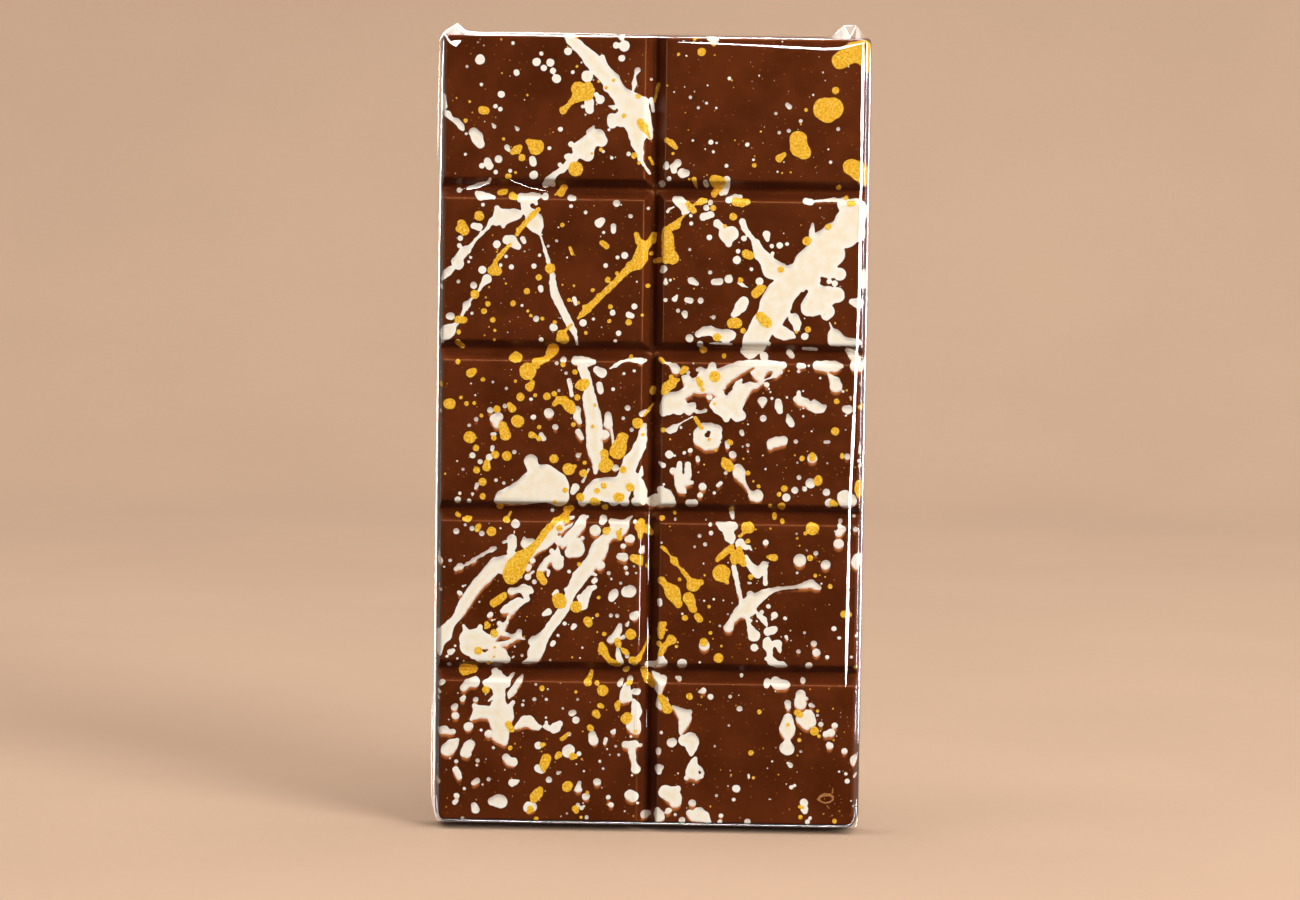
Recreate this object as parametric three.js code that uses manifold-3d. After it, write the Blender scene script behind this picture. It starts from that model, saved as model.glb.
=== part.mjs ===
// A moulded chocolate tablet of five rows of two squares, standing upright in its clear film wrap.
//
// Everything is modelled in the mould's frame, in millimetres: X across the tablet, Y along it from its
// lower end, and Z out of the mould, from the tablet's flat back at 0 to the faces of the squares.
// The last group stands the tablet up, so that its faces look along -Y and it rests on the film's lower end.

import * as THREE from "three";
import { mergeVertices } from "three/addons/utils/BufferGeometryUtils.js";
import Module from "manifold-3d";

// The tablet
const ROWS = 5;
const COLUMNS = 2;
const SQUARE_WIDTH = 37.7;
const SQUARE_HEIGHT = 27.0;
const GROOVE_WIDTH = 3.75; // between the faces of two squares
const GROOVE_FLOOR = 0.65;
const GROOVE_DEPTH = 2.8;
const THICKNESS = 8.0;
const DRAFT = 1.2; // how far the back edge lies outside the edge of the faces, at the sides and the lower end
const UPPER_DRAFT = 0.3; // the same at the upper end
const EDGE_ROUND = 0.4;
const LOWER_CORNER_RADIUS = 1.1;
const UPPER_CORNER_RADIUS = 1.0;

// The film, drawn thicker than the real one
const FILM = 0.3;
const CLEARANCE = 0.3; // between film and chocolate
const FOLD_ROUND = 1.2; // radius at which the film turns round the tablet's edges
const LIP = 1.9; // how far the turned film reaches onto the faces, seen from the front
const SEAM_WIDTH = 9.0; // lap seam down the back
const SEAM_INSET = 2.0; // from the seam's ends to the ends of the wrap
const EAR_DEPTH = 3.2; // front to back, at the foot of a corner ear
const EAR_TIP_DEPTH = 0.4;
const EAR_SETBACK = 1.6; // from the front of the wrap
const EAR_FOOT = 1.0; // how deep an ear is rooted in the upper end

// Corner ears, seen from the front: distance in from the wrap's side, and height above the upper end.
const LEFT_EAR = [
  [0.6, 0],
  [3.6, 2.9],
  [5.4, 1.2],
  [12.3, 0.35],
  [20.0, 0],
];
const RIGHT_EAR = [
  [0.4, 0],
  [2.6, 2.8],
  [4.9, 2.9],
  [6.9, 1.5],
  [8.8, 0],
];

const CHOCOLATE_COLOUR = 0x5f2d1a;
const FILM_COLOUR = 0xe6ebee;
const CURVE_SEGMENTS = 5;
const WELD = 1e-5; // corners nearer than this are one

const FACE_WIDTH = COLUMNS * SQUARE_WIDTH + (COLUMNS - 1) * GROOVE_WIDTH;
const FACE_HEIGHT = ROWS * SQUARE_HEIGHT + (ROWS - 1) * GROOVE_WIDTH;
const BACK_WIDTH = FACE_WIDTH + 2 * DRAFT;
const BACK_HEIGHT = FACE_HEIGHT + DRAFT + UPPER_DRAFT;
const SKIN = CLEARANCE + FILM;
const OVERLAP = 1.0; // how far a cutter reaches past what it cuts

const wasm = await Module();
wasm.setup();

/** The solid inside a closed geometry. */
function solidOf(geometry) {
  const bare = geometry.clone();
  bare.deleteAttribute("normal");
  bare.deleteAttribute("uv");
  const merged = mergeVertices(bare, WELD);
  return new wasm.Manifold(
    new wasm.Mesh({
      numProp: 3,
      vertProperties: merged.attributes.position.array,
      triVerts: new Uint32Array(merged.index.array),
    })
  );
}

/** The geometry of a solid's surface. */
function geometryOf(solid) {
  const mesh = solid.getMesh();
  const geometry = new THREE.BufferGeometry();
  geometry.setAttribute("position", new THREE.BufferAttribute(mesh.vertProperties, 3));
  geometry.setIndex(new THREE.BufferAttribute(mesh.triVerts, 1));
  geometry.computeVertexNormals();
  return geometry;
}

/** A rectangle centred on X, from y = 0 up, with its own radius at the lower and the upper corners. */
function roundedOutline(width, height, lowerRadius, upperRadius) {
  const side = width / 2;
  const shape = new THREE.Shape();
  shape.moveTo(-side + lowerRadius, 0);
  shape.lineTo(side - lowerRadius, 0);
  shape.absarc(side - lowerRadius, lowerRadius, lowerRadius, -Math.PI / 2, 0, false);
  shape.lineTo(side, height - upperRadius);
  shape.absarc(side - upperRadius, height - upperRadius, upperRadius, 0, Math.PI / 2, false);
  shape.lineTo(-side + upperRadius, height);
  shape.absarc(-side + upperRadius, height - upperRadius, upperRadius, Math.PI / 2, Math.PI, false);
  shape.lineTo(-side, lowerRadius);
  shape.absarc(-side + lowerRadius, lowerRadius, lowerRadius, Math.PI, 1.5 * Math.PI, false);
  return shape;
}

/**
 * The tablet's block, grown by `skin` all round, with its edges rounded by `round`. Its sides lean in by
 * DRAFT from back to front, and its upper end by UPPER_DRAFT. Its lower end leans in as the sides do, unless
 * `flatFoot` keeps it square.
 */
function draftedBlock(skin, round, flatFoot) {
  const width = BACK_WIDTH + 2 * skin;
  const height = BACK_HEIGHT + 2 * skin;
  const outline = roundedOutline(
    width,
    height,
    LOWER_CORNER_RADIUS + skin,
    UPPER_CORNER_RADIUS + skin
  );
  const depth = THICKNESS + 2 * skin;
  const block = new THREE.ExtrudeGeometry(outline, {
    depth: depth - 2 * round,
    bevelThickness: round,
    bevelSize: round,
    bevelOffset: -round,
    bevelSegments: CURVE_SEGMENTS,
    curveSegments: CURVE_SEGMENTS,
  });
  block.translate(0, -skin, round - skin);
  const position = block.attributes.position;
  for (let i = 0; i < position.count; i += 1) {
    const rise = position.getZ(i) / THICKNESS;
    const fromMiddle = position.getY(i) / BACK_HEIGHT - 0.5;
    const lowerDraft = flatFoot ? 0 : DRAFT;
    const endDraft = fromMiddle < 0 ? lowerDraft : UPPER_DRAFT;
    position.setX(i, position.getX(i) * (1 - (2 * DRAFT * rise) / BACK_WIDTH));
    position.setY(i, position.getY(i) - 2 * endDraft * rise * fromMiddle);
  }
  return block;
}

/** The section of a groove's cutter: a flat floor, two slopes, and lips that round off onto the faces. */
function grooveSection() {
  const floor = GROOVE_FLOOR / 2;
  const edge = GROOVE_WIDTH / 2;
  const bottom = THICKNESS - GROOVE_DEPTH;
  const slope = new THREE.Vector2(edge - floor, GROOVE_DEPTH).normalize().multiplyScalar(EDGE_ROUND);
  const shape = new THREE.Shape();
  shape.moveTo(-floor, bottom);
  shape.lineTo(floor, bottom);
  shape.lineTo(edge - slope.x, THICKNESS - slope.y);
  shape.quadraticCurveTo(edge, THICKNESS, edge + EDGE_ROUND, THICKNESS);
  shape.lineTo(edge + EDGE_ROUND, THICKNESS + OVERLAP);
  shape.lineTo(-edge - EDGE_ROUND, THICKNESS + OVERLAP);
  shape.lineTo(-edge - EDGE_ROUND, THICKNESS);
  shape.quadraticCurveTo(-edge, THICKNESS, -edge + slope.x, THICKNESS - slope.y);
  shape.closePath();
  return shape;
}

/** A groove's cutter, running along Y over `length` and centred on the origin. */
function grooveCutter(length) {
  const cutter = new THREE.ExtrudeGeometry(grooveSection(), {
    depth: length,
    bevelEnabled: false,
    curveSegments: CURVE_SEGMENTS,
  });
  cutter.rotateX(Math.PI / 2);
  cutter.translate(0, length / 2, 0);
  return cutter;
}

function chocolateBar() {
  let solid = solidOf(draftedBlock(0, EDGE_ROUND, false));
  for (let column = 1; column < COLUMNS; column += 1) {
    const groove = grooveCutter(BACK_HEIGHT + 2 * OVERLAP);
    const x = -FACE_WIDTH / 2 + column * (SQUARE_WIDTH + GROOVE_WIDTH) - GROOVE_WIDTH / 2;
    groove.translate(x, BACK_HEIGHT / 2, 0);
    solid = solid.subtract(solidOf(groove));
  }
  for (let row = 1; row < ROWS; row += 1) {
    const groove = grooveCutter(BACK_WIDTH + 2 * OVERLAP);
    groove.rotateZ(Math.PI / 2);
    groove.translate(0, DRAFT + row * (SQUARE_HEIGHT + GROOVE_WIDTH) - GROOVE_WIDTH / 2, 0);
    solid = solid.subtract(solidOf(groove));
  }
  return geometryOf(solid);
}

/** One ear of pinched film, from its outline as [distance in from the side, height], on side -1 or 1. */
function cornerEar(outline, side) {
  const wrapSide = BACK_WIDTH / 2 + SKIN - DRAFT;
  const foot = outline.map(([inward]) => inward);
  const points = [
    [foot.at(-1), -EAR_FOOT],
    [foot.at(0) + EAR_FOOT, -EAR_FOOT],
    ...outline,
  ].map(([inward, height]) => new THREE.Vector2(side * (wrapSide - inward), height));
  const ear = new THREE.ExtrudeGeometry(new THREE.Shape(points), {
    depth: EAR_DEPTH,
    bevelEnabled: false,
  });
  const tip = Math.max(...outline.map(([, height]) => height));
  const position = ear.attributes.position;
  for (let i = 0; i < position.count; i += 1) {
    const rise = Math.max(0, position.getY(i)) / tip;
    const pinch = 1 - rise * (1 - EAR_TIP_DEPTH / EAR_DEPTH);
    position.setZ(i, (position.getZ(i) - EAR_DEPTH / 2) * pinch);
  }
  const front = THICKNESS + SKIN;
  const lean = (UPPER_DRAFT * (front - EAR_SETBACK)) / THICKNESS;
  ear.translate(0, BACK_HEIGHT + SKIN - lean, front - EAR_SETBACK - EAR_DEPTH / 2);
  return ear;
}

/** The lap seam: a second layer of film down the middle of the back. */
function lapSeam() {
  const length = BACK_HEIGHT + 2 * SKIN - 2 * SEAM_INSET;
  const seam = new THREE.BoxGeometry(SEAM_WIDTH, length, 2 * FILM);
  seam.translate(0, BACK_HEIGHT / 2, -SKIN);
  return seam;
}

function filmWrap() {
  let solid = solidOf(draftedBlock(SKIN, FOLD_ROUND, true));
  for (const piece of [cornerEar(LEFT_EAR, -1), cornerEar(RIGHT_EAR, 1), lapSeam()]) {
    solid = solid.add(solidOf(piece));
  }
  solid = solid.subtract(solidOf(draftedBlock(CLEARANCE, FOLD_ROUND - FILM, true)));
  const opening = new THREE.ExtrudeGeometry(
    roundedOutline(
      FACE_WIDTH - 2 * (LIP - SKIN),
      FACE_HEIGHT - 2 * (LIP - SKIN),
      LOWER_CORNER_RADIUS,
      UPPER_CORNER_RADIUS
    ),
    { depth: SKIN + OVERLAP, bevelEnabled: false, curveSegments: CURVE_SEGMENTS }
  );
  opening.translate(0, DRAFT + LIP - SKIN, THICKNESS);
  return geometryOf(solid.subtract(solidOf(opening)));
}

const chocolate = new THREE.Mesh(
  chocolateBar(),
  new THREE.MeshStandardMaterial({ color: CHOCOLATE_COLOUR, roughness: 0.35, metalness: 0 })
);
chocolate.name = "chocolate_bar";

const film = new THREE.Mesh(
  filmWrap(),
  new THREE.MeshStandardMaterial({
    color: FILM_COLOUR,
    roughness: 0.08,
    metalness: 0,
    transparent: true,
    opacity: 0.2,
  })
);
film.name = "film_wrap";

const standing = new THREE.Group();
standing.add(chocolate, film);
standing.rotation.x = Math.PI / 2;
const backmost = -SKIN - FILM;
const foremost = THICKNESS + SKIN;
standing.position.set(0, (backmost + foremost) / 2, SKIN);

const part = new THREE.Group();
part.add(standing);

export default part;
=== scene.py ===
"""A moulded chocolate tablet with ivory and gold splashes, upright in its clear film wrap.

Shapes are worked out in millimetres on the tablet's own sheet: x across from the middle, z up from the lower
edge of the squares' faces, and depth behind the plane of those faces. Tablet.place puts them in the frame.
"""

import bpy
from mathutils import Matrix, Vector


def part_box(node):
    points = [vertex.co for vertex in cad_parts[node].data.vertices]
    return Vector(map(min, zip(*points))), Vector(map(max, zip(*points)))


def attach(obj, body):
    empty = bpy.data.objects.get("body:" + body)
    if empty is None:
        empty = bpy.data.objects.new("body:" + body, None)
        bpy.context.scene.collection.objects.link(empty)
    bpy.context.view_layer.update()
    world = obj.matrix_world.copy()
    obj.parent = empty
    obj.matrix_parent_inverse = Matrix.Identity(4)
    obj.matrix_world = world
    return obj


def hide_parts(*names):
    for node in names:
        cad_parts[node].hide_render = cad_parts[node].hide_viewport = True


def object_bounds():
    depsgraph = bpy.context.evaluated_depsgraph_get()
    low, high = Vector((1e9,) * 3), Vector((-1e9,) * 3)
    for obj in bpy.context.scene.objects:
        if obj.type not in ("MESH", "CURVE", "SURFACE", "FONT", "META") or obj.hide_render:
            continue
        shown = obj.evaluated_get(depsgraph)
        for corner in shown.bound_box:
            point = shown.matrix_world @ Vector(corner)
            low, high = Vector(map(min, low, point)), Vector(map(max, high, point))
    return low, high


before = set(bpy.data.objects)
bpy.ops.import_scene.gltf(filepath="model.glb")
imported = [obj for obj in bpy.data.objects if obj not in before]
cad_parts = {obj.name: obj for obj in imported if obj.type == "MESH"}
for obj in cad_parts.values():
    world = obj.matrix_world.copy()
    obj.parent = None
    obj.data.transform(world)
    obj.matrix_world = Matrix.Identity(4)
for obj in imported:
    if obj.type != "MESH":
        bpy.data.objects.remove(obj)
CAD_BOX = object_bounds()

import copy
import math

import bpy
import numpy as np
from bpy.props import FloatProperty, FloatVectorProperty, IntProperty, PointerProperty
from mathutils import Matrix, Vector
from mathutils.geometry import delaunay_2d_cdt

bl_info = {
    "name": "Splashed Chocolate Tablet",
    "version": (1, 0, 0),
    "blender": (4, 5, 0),
    "location": "3D View > Sidebar > Tablet",
    "description": "Builds a splashed chocolate tablet in its film wrap around its packed solids",
    "category": "Object",
}

MM = 0.001
BODY = "root"
TABLET_NODE = "chocolate_bar"
WRAP_NODE = "film_wrap"
TABLET_LOW, TABLET_HIGH = (np.array(corner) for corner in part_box(TABLET_NODE))

# Marks are read off the tablet. A mark is a chain of beads joined by ">", each bead is "x,z,radius"
# in millimetres on the tablet's sheet, and ";" parts the marks.
IVORY_MARKS = """
-33.3,145.3,.95; -35.75,144,.3; -27.1,148.5,.4; -26.4,142.95,.62; -22.6,145,.8; -21.2,143.9,.65; -21.75,146.6,.38;
-20,144.9,.8; -19.5,143.4,.62; -18.8,141.9,.85; -33,140.65,.38; -29.2,138.8,.65; -30.3,136.6,.42; -29.4,136.05,.42;
-30.5,132.7,.42>-30.9,133.3,.1; -26.1,132.3,.38>-26.5,132.8,.1; -39.9,138.3,.6>-39.8,136.4,.7;
-39.2,135.1,.6>-38.6,134.2,.25>-37.6,133.6,.55>-36.8,132.7,.6>-36.4,132.1,.35; -35.8,131.3,.3;
-34.4,131.6,.85>-33.7,130.6,1.15>-33.1,129.4,.8; -35.9,127.4,.3; -32.8,125.3,.5; -31.7,126.2,.7>-31.3,125.3,.75;
-30.1,124.15,.4; -29.6,126.6,.75; -28,128.8,.55>-27.6,128.2,.3; -27.4,124.4,.42; -23.2,126.7,.6>-23,125.9,.65;
-22.9,123.7,.8; -20,128.8,.42; -31.2,122.8,.25>-31.6,122.1,.3>-33.5,121.6,.35>-35.5,120.9,.3; -37.2,120.5,.5;
-17,150.2,.6>-16.1,149.2,.95>-14.9,148.2,1.05>-13.6,147,1.1>-12.2,145.5,1.45>-11.2,144.2,1.45>-9.6,142.6,1.35
>-8.5,141,1.3>-7.4,139.7,1.5>-6,138.3,1.9>-4.6,137,2.6>-3.9,135,2.8>-3.3,133.2,2.3>-3.4,131.5,1.7>-3.4,130,1.2
>-2.9,128.3,.7>-2.8,127,.45>-2.2,126,.25>-1,124.2,.2; -2.6,137.6,1.2>-2.3,135,1.2>-1.7,132.5,1.1>-1,131,.5;
-9.3,140.3,.7; -7.9,136.6,.5>-8.9,136.9,.15; -8.2,134.6,1>-8.2,133.6,.9; -6.5,134.5,1.5;
-10.2,146.1,.5>-9.4,144.8,.15>-8.3,143.3,.2>-7.6,142.3,.55>-7.3,141.6,.5>-6.5,140.5,.4; -16.7,147.1,.75;
-7.6,148.3,.6; -6.1,148.2,1; -6.6,149.8,.5; -6.5,145.9,.65; -3.5,143.7,.6>-4,142.6,.12>-4.05,141.2,.45>-4.3,139.9,.15;
-15.7,143.15,.35; -13,142.4,1.1; -11.2,139,.5; -10.5,138.1,.85; -12.6,137.6,.95>-12.5,136.2,.85; -13.8,136.7,.35;
-18,132.4,.45; -15.95,129.6,.55; -16.7,127.2,.55>-16.3,127.5,.4; -18,125.7,.45;
-11.7,133,.2>-12.2,131.9,.8>-11,131,1.5>-10.2,130.3,1.1; -12.5,130,1.5>-13.5,128.7,1.9>-14.5,128.8,1.2; -12.8,127.6,1.2;
-15.2,127.2,.8>-16.3,126,.65>-17.6,124.7,.55>-18.9,123.9,.5>-20,122.6,.9>-20.8,121.8,.6; -19.3,121.9,.5;
-8.8,132.4,.3; -9.8,128.3,.3; -8.2,127.1,.32; -5,127.9,.5; -.9,142,.3; -.9,138.3,.35>-.5,136,.3;
9.8,149.8,.3>10.8,149.4,.6>11.4,149.6,.4; 13.85,142.4,.35; 9.75,141,.2; 7.3,139.8,.2; 6.5,138.7,.35; 9.55,137.7,.3;
8.05,136.8,.28; 11.45,136.8,.25; 7.1,130.6,.25; 10.5,130.3,.45; 11.6,130.2,.25; 17.4,129.95,.42; 11,128.5,.3;
18.65,127.1,.25; 13.5,125.9,.35; 22.7,135.9,.3; 25.3,137.1,.5>24.8,137.6,.4; 23.4,132.3,.28; 25.2,132.7,.35;
27.4,134.5,.35; 34.5,133.1,.35; 29.7,139.5,.2; 33.2,126.8,.3; 23.2,124.9,.22; 2.1,125.6,.6>2.2,126.2,.4;
4.3,126.3,.75>3.5,125.6,.6>3.6,124.9,.55; 5.3,124.4,.95>5.9,124.4,.7; 2.7,123.3,.4; 1.4,122.3,.6;
9.6,122.7,.55>9.8,122.2,.5; 13.6,123.2,.7>13.4,122,.8>13.2,121,.7>12.6,120.6,.5;
-33.8,120,.4>-32.9,119.5,.75>-31.6,119.5,.55>-30.4,119.3,.35; -25.3,119.3,.8>-24.3,119,1>-23,119.4,.9>-22,119.7,.5;
-24.5,118,.8>-24.3,117,.85>-23.3,116.2,1.1>-22.8,115,1.7>-22.3,114,1.3>-21.9,113.1,.6>-21.6,112.5,.2>-21.1,111,.2
>-20.6,109.3,.28>-20,107.4,.3>-19.4,105.4,.35>-19.1,104.6,.45>-19.1,103.2,.6>-18.9,102,.75>-18.6,101,.8>-18,99.7,.75
>-17.2,98.2,.7>-16.4,96.6,.7>-15.7,95.3,.65>-15,94.2,.55>-14.6,93,.3>-14.4,91.6,.22; -20.7,119.6,.65;
-22.4,118.3,.35; -32.5,117.95,.38; -29.8,117.3,.5>-29.3,116,1.2>-28,115.8,1.3>-26.6,116.1,1.1>-25.9,116.2,.9;
-29.9,115,1; -28.6,114.8,1.1>-28.6,113.9,.4;
-30.8,114.9,.6>-31.5,113.6,.3>-32.6,112.5,.3>-33.8,111.3,.25>-34.7,110.1,.35>-35.5,109.3,.75>-36.2,108.8,.8
>-36.9,107.9,.8>-37.3,107.1,1.15; -37,106.6,1.05; -38.4,105.7,.6>-39,104.9,.6>-39.5,104.1,.4>-39.9,103.4,.2;
-40,102.2,.45; -34.2,113.9,.55>-33.2,113.7,.7; -36.7,111.5,.5; -36.9,110.1,.45; -34.7,107.9,.32; -35.1,107.1,.3;
-27.9,111.3,.85>-27,111.1,1.05>-26.3,110.5,.7>-25.7,110.1,.6; -29.8,110.5,.75; -24.9,111.6,.5>-24.6,111,.4;
-25.7,113.2,.3; -28,108.2,.32; -27,106.2,.5; -29,106.5,.42; -32.5,105.6,.75;
-31.6,103.8,.95>-32.6,102.6,.3>-33,101.8,.2>-34,100.6,.2>-34.8,99.7,.2>-35.4,98.9,.7>-36,97.6,.25>-36.5,96.4,.2
>-37.3,95.3,.3>-38.6,93.9,1.2>-39.3,93.2,1.1; -39.6,91.8,.35; -34.1,102.6,.65; -37,103.3,.4; -34.4,97.3,.3;
-38.4,96.7,.7; -22.7,106.4,.5; -21.7,108.5,.3; -20,110.3,.3; -18.5,111.3,.3; -21.4,102.3,.6>-21.3,101.9,.5;
-22.2,96.4,.6; -24.9,98.9,.28; -21.2,92.5,.45; -18.9,94.8,.75; -15.9,119.4,.6>-15.3,119.3,.5; -15.8,117.9,.4;
-13,116.7,.4; -7.2,118.5,.65; -4.5,116.15,.45; -1.2,117.6,.3; -10.5,114.7,.85>-9.9,115.2,.6; -9.55,113,.32;
-7.7,114.2,.5>-7.7,113.3,.5; -5.5,108.7,.7; -6.9,108.3,.38; -9.1,106.7,.5; -15,100.3,.4>-14.7,99.3,.4;
-13.3,95.8,.72; -11.3,96.5,.3; -3.6,99,.6; -4.6,97.4,.6>-4,97.2,.5; -7.7,97.8,.55; -6.5,93.9,.5; -7.1,92.4,.35;
3.9,119.4,.6>4.8,119,.9>5.6,118.3,.95>6,117.5,.8>5.5,116.8,.3; 3.7,118,.12>2.8,117.6,.15>2.5,117.1,.25;
6.95,116.4,.35; 7,114.9,.4; 9.8,117.9,.55; 10.6,118.9,.45; 9.3,116.2,.75>10.1,116.4,.6>10.8,116.6,.6;
14,119.4,.6>15.2,119.9,.5>16.3,120,.4; 11.9,115,.7>12.9,114.2,.5>13.6,113,1.35>14.6,113.1,1.4;
14,112,1.2>14.1,111.2,.7; 10.5,112.3,.5; 6.75,110,.3; 17,112.2,.5; 15.9,109.8,.45; 15.7,108.1,.8; 18.5,106.4,.4;
16.7,115.4,.65>17.1,114.2,.55>17.8,113.2,.4>18.6,112.3,.3>19.3,111.4,.7>19.7,110.3,.9>20.2,109.3,1.2>21.2,108.3,1.3
>22.5,106.5,1.9>23.8,106,1.8; 2,106.3,.65>1.7,105.9,.5; 2.25,103.6,.45>2.3,104.3,.2; 3.2,104.1,.28; 2.3,100.3,.38;
4.05,100.5,.5>4.5,101.2,.25; 4.7,98.35,.38; 6,97.8,.6>6.1,97.2,.4; 11.45,97.2,.4; 7.2,104.1,.7>8.2,103.5,.4;
11.5,103.9,.6>12.6,104,.65; 10.75,105.7,.42; 14.25,104.5,.78; 16.2,103.8,.2>16.9,103.4,.25>18,102.9,.1;
6.4,100.4,.55>7.1,100.3,.6; 9,100.3,.55; 20.1,104.1,.75; 17.2,100.2,.95>16.6,99.3,1.05>15.9,98.3,.7>15.3,97.7,.5;
8.6,93.9,.65>9.8,94.5,.9>11,94.6,.85>12.5,93.9,1>14,93.7,1.25>14.8,93.8,1; 10.8,92.2,.15>15,92.1,.2; 7,93.1,.8;
9,92,.65; 28.6,119.4,.6>29.6,119.2,.55; 30.5,119.4,.15>34,119.7,.3>35,119.6,.3;
38,117.5,2.5>37,115.5,2.8>36,113.5,2.8>34,113,2.4>32.6,111.3,2.9>31,109,2.7>29.5,107.5,2.9>28.5,105,2.7>26.8,105,2.5
>25.4,103.2,2.6>24,101.5,2.7>23.2,99.5,3>22.3,97.5,2.6>21,96,2.3>20.2,94.3,2.2>19.2,93,2>20,91.8,1.4>18.5,90.8,1.5;
38.5,113.5,1.6; 36,118.8,1.4; 33.8,109.5,2.4; 32.5,107.3,2.2; 35.3,105.7,1.2; 33.4,106.3,1.4; 30,104.3,1.6;
18.2,92.2,1.2; 30,115.2,.25>29.9,113.8,.5>29.9,112.5,.7; 31,101.6,2.2; 33,101.5,1.9; 34.8,101.8,1.5; 30.2,99.8,2.2;
32,99.5,1.5; 33.3,98.6,1.2; 32.8,97.8,.9; 29.3,98.9,1.2; 33.3,104.3,.5; 34.4,103.9,.6; 38.9,100.2,1.1>37.7,100.5,.6;
39.9,106,.7>40,103.4,.7; 21.3,113,.75>21.5,112,.4; 22.3,110.8,.45; 22.5,109.5,.4>22.3,108.7,.3; 23.8,111,.65;
25.2,111.3,.35; 26.7,97.2,1>27.3,96.2,.8>27.3,95.2,.6; 24,94.6,1.3>25,94.2,1.2>26.2,94,.7>26.8,93.7,.3; 22,92.3,.4;
28.8,93.8,.7; 34.5,94,1.3>35.2,93.2,1.2>36.5,92.9,.8>38,92.8,.7>39,92.8,.7; 34.2,93,1; 33.5,96.5,.12>34,95.2,.2;
28.6,91.4,.3>30,91.3,.35>31,91.2,.3;
-30.3,84.3,.3; -27.7,83.1,.32; -23,81.1,.38; -28,79.7,.42; -39.9,78.5,.35; -30.7,78.9,.6; -29.8,77.2,1; -29.1,77.6,.9;
-29.4,76.2,.8; -30.3,74.3,.4>-29.9,74.3,.45; -33.4,77.1,.48; -34.7,75.95,.4; -22.5,77.7,.55; -21,74.3,.5>-20.5,73.6,.5;
-30.2,71.8,.45>-30.3,71.3,.35; -26.1,71,.38; -34,70.2,.55; -30.8,69.9,.65; -32.6,69,.48; -35.8,67.5,.3;
-29.5,65.5,.35; -28,65,.38; -33.1,64.6,.45>-33.4,63.9,.25; -34,62.85,.35; -36.4,62.9,.35; -36.8,61.7,.6;
-34.6,61.5,.45; -19.6,78.5,.95; -18.3,75.8,.6;
-29,61.6,.8>-28.3,62.2,1.3>-26.5,62.6,1.9>-24.5,63.2,2.4>-22.5,64.2,3>-20.5,65,3.6>-18.7,64.3,3.1>-17.5,62.6,2;
-22.9,69.2,1.35>-22.5,68,1.1>-22,67.5,1.3; -16.9,88.6,.6; -18.2,88,.35; -16.4,86.15,.35;
-15.8,84.8,.45>-15.5,83.5,.3>-15.3,82,.4; -17.7,82.8,.35; -14.6,88.5,.75>-13.5,88.4,.85>-12.3,88.3,.8>-11.2,88.3,.5;
-13.3,87.2,.9>-12.8,86,.85>-12.3,84.5,.8>-12,83,.9>-11.9,81.5,1.3>-11.6,80,1.35>-11.2,78.5,1.4>-11,77,1.45
>-10.9,75.5,1.5>-10.9,74,1.45>-10.8,72.5,1.5>-10.5,71,1.4>-10.2,69.5,1.1>-10.5,68.3,.6>-10.6,67.3,.4;
-14.2,79.2,.7>-14.3,77.8,.6>-13.7,76.8,.5; -14,75,.6>-13.3,73.8,.5; -10,84,.6>-9.8,82.8,.6;
-8.3,78.3,.6>-8.2,76.4,.8>-7.7,75.5,.2>-7.4,74,.2>-7.2,72.8,.3; -9,74.5,1; -9.5,86.3,.95>-10.6,86.9,.7;
-8.3,87,.12>-7,87.7,.35>-6,88.4,.2>-4.5,88.8,.2>-3.3,88.7,.4>-2.2,88.6,.55>-1.3,88.7,.3; -3.4,86.8,.35;
-5.4,86.2,.3; -7.4,83.2,.35; -4.6,79.7,.5; -5.4,77.7,.32; -3.8,75.5,.38; -1.9,78.6,.55>-1.2,79.1,.3; -13.9,70.5,.5;
-11.9,67.8,.3>-12.4,66.5,.15>-13,65.5,.3; -14.3,64.4,.7>-14.9,63.4,.5;
-13,61.5,.8>-11.2,63.5,1.4>-10,64.2,1.9>-8.3,64,2.3>-6.3,64,2.5>-5,65.3,1.8>-4.6,67.5,1.4>-3.9,69.5,1.4>-3,70.8,1.1
>-2.3,72.3,1.1>-1.8,73.6,.9>-1.7,75,.7>-1.4,76.3,.5; -6.8,68.2,.7; -3,66.5,.8>-2.4,65.2,1>-2,63.5,1.2>-1.8,62,1;
-2.7,61.8,1; -10.8,62.3,1.3; -7,61.8,1; -5,61.7,.9; -1.8,68.5,.15>-1.9,67,.4;
2.3,88.4,.2>3.3,88.2,.3>4.2,87.6,.7>4.5,87.1,.85; 6.8,86.6,.35; 8.6,87.1,.35>9.2,87.2,.5>9.7,87.1,.35; 7.8,88.3,.2;
11.4,87.9,.7>11.3,86.8,1; 10.3,85.5,1.8>12,85,2.2>9,84.2,1.6>7.3,84,1.2>6.5,85.3,.8>5.9,85.7,.35;
12,85,2.2>13.5,86,1.6>15,86.7,1.6>16.5,87.5,1.3>18.5,88,1>20,88.1,.9>22.3,88,1>23.6,87.8,1.1>24.9,88.2,.7;
12.5,83.5,1.4; 6.9,83,1>5,82,.9>3.7,81.2,1.7>3,79.9,1.5; 5,80.4,1.7; 5.2,79.4,.9; 2.2,78.8,.7;
7,79.2,.8>7.5,80,.9>8.2,80.6,.4; 8.6,79.2,.45>9.3,79.1,.25>10.2,79.4,.35; 10.9,82,.55;
11.7,80.4,.7>12.3,80.6,1.2>13.3,81.5,1.2; 12.4,79.7,.9>14,79.1,1.1>14.2,77.8,.6; 13.6,81,1.2>15.5,80,1.5>16,81.6,1.8
>17,83,1.4>18.6,84.2,.8>19.7,84.2,.5>21,84.9,.2; 16.2,78.3,.95>17,78.5,.9; 16,79,1.2; 15.9,83.8,.6>16.7,85.4,.5;
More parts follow.
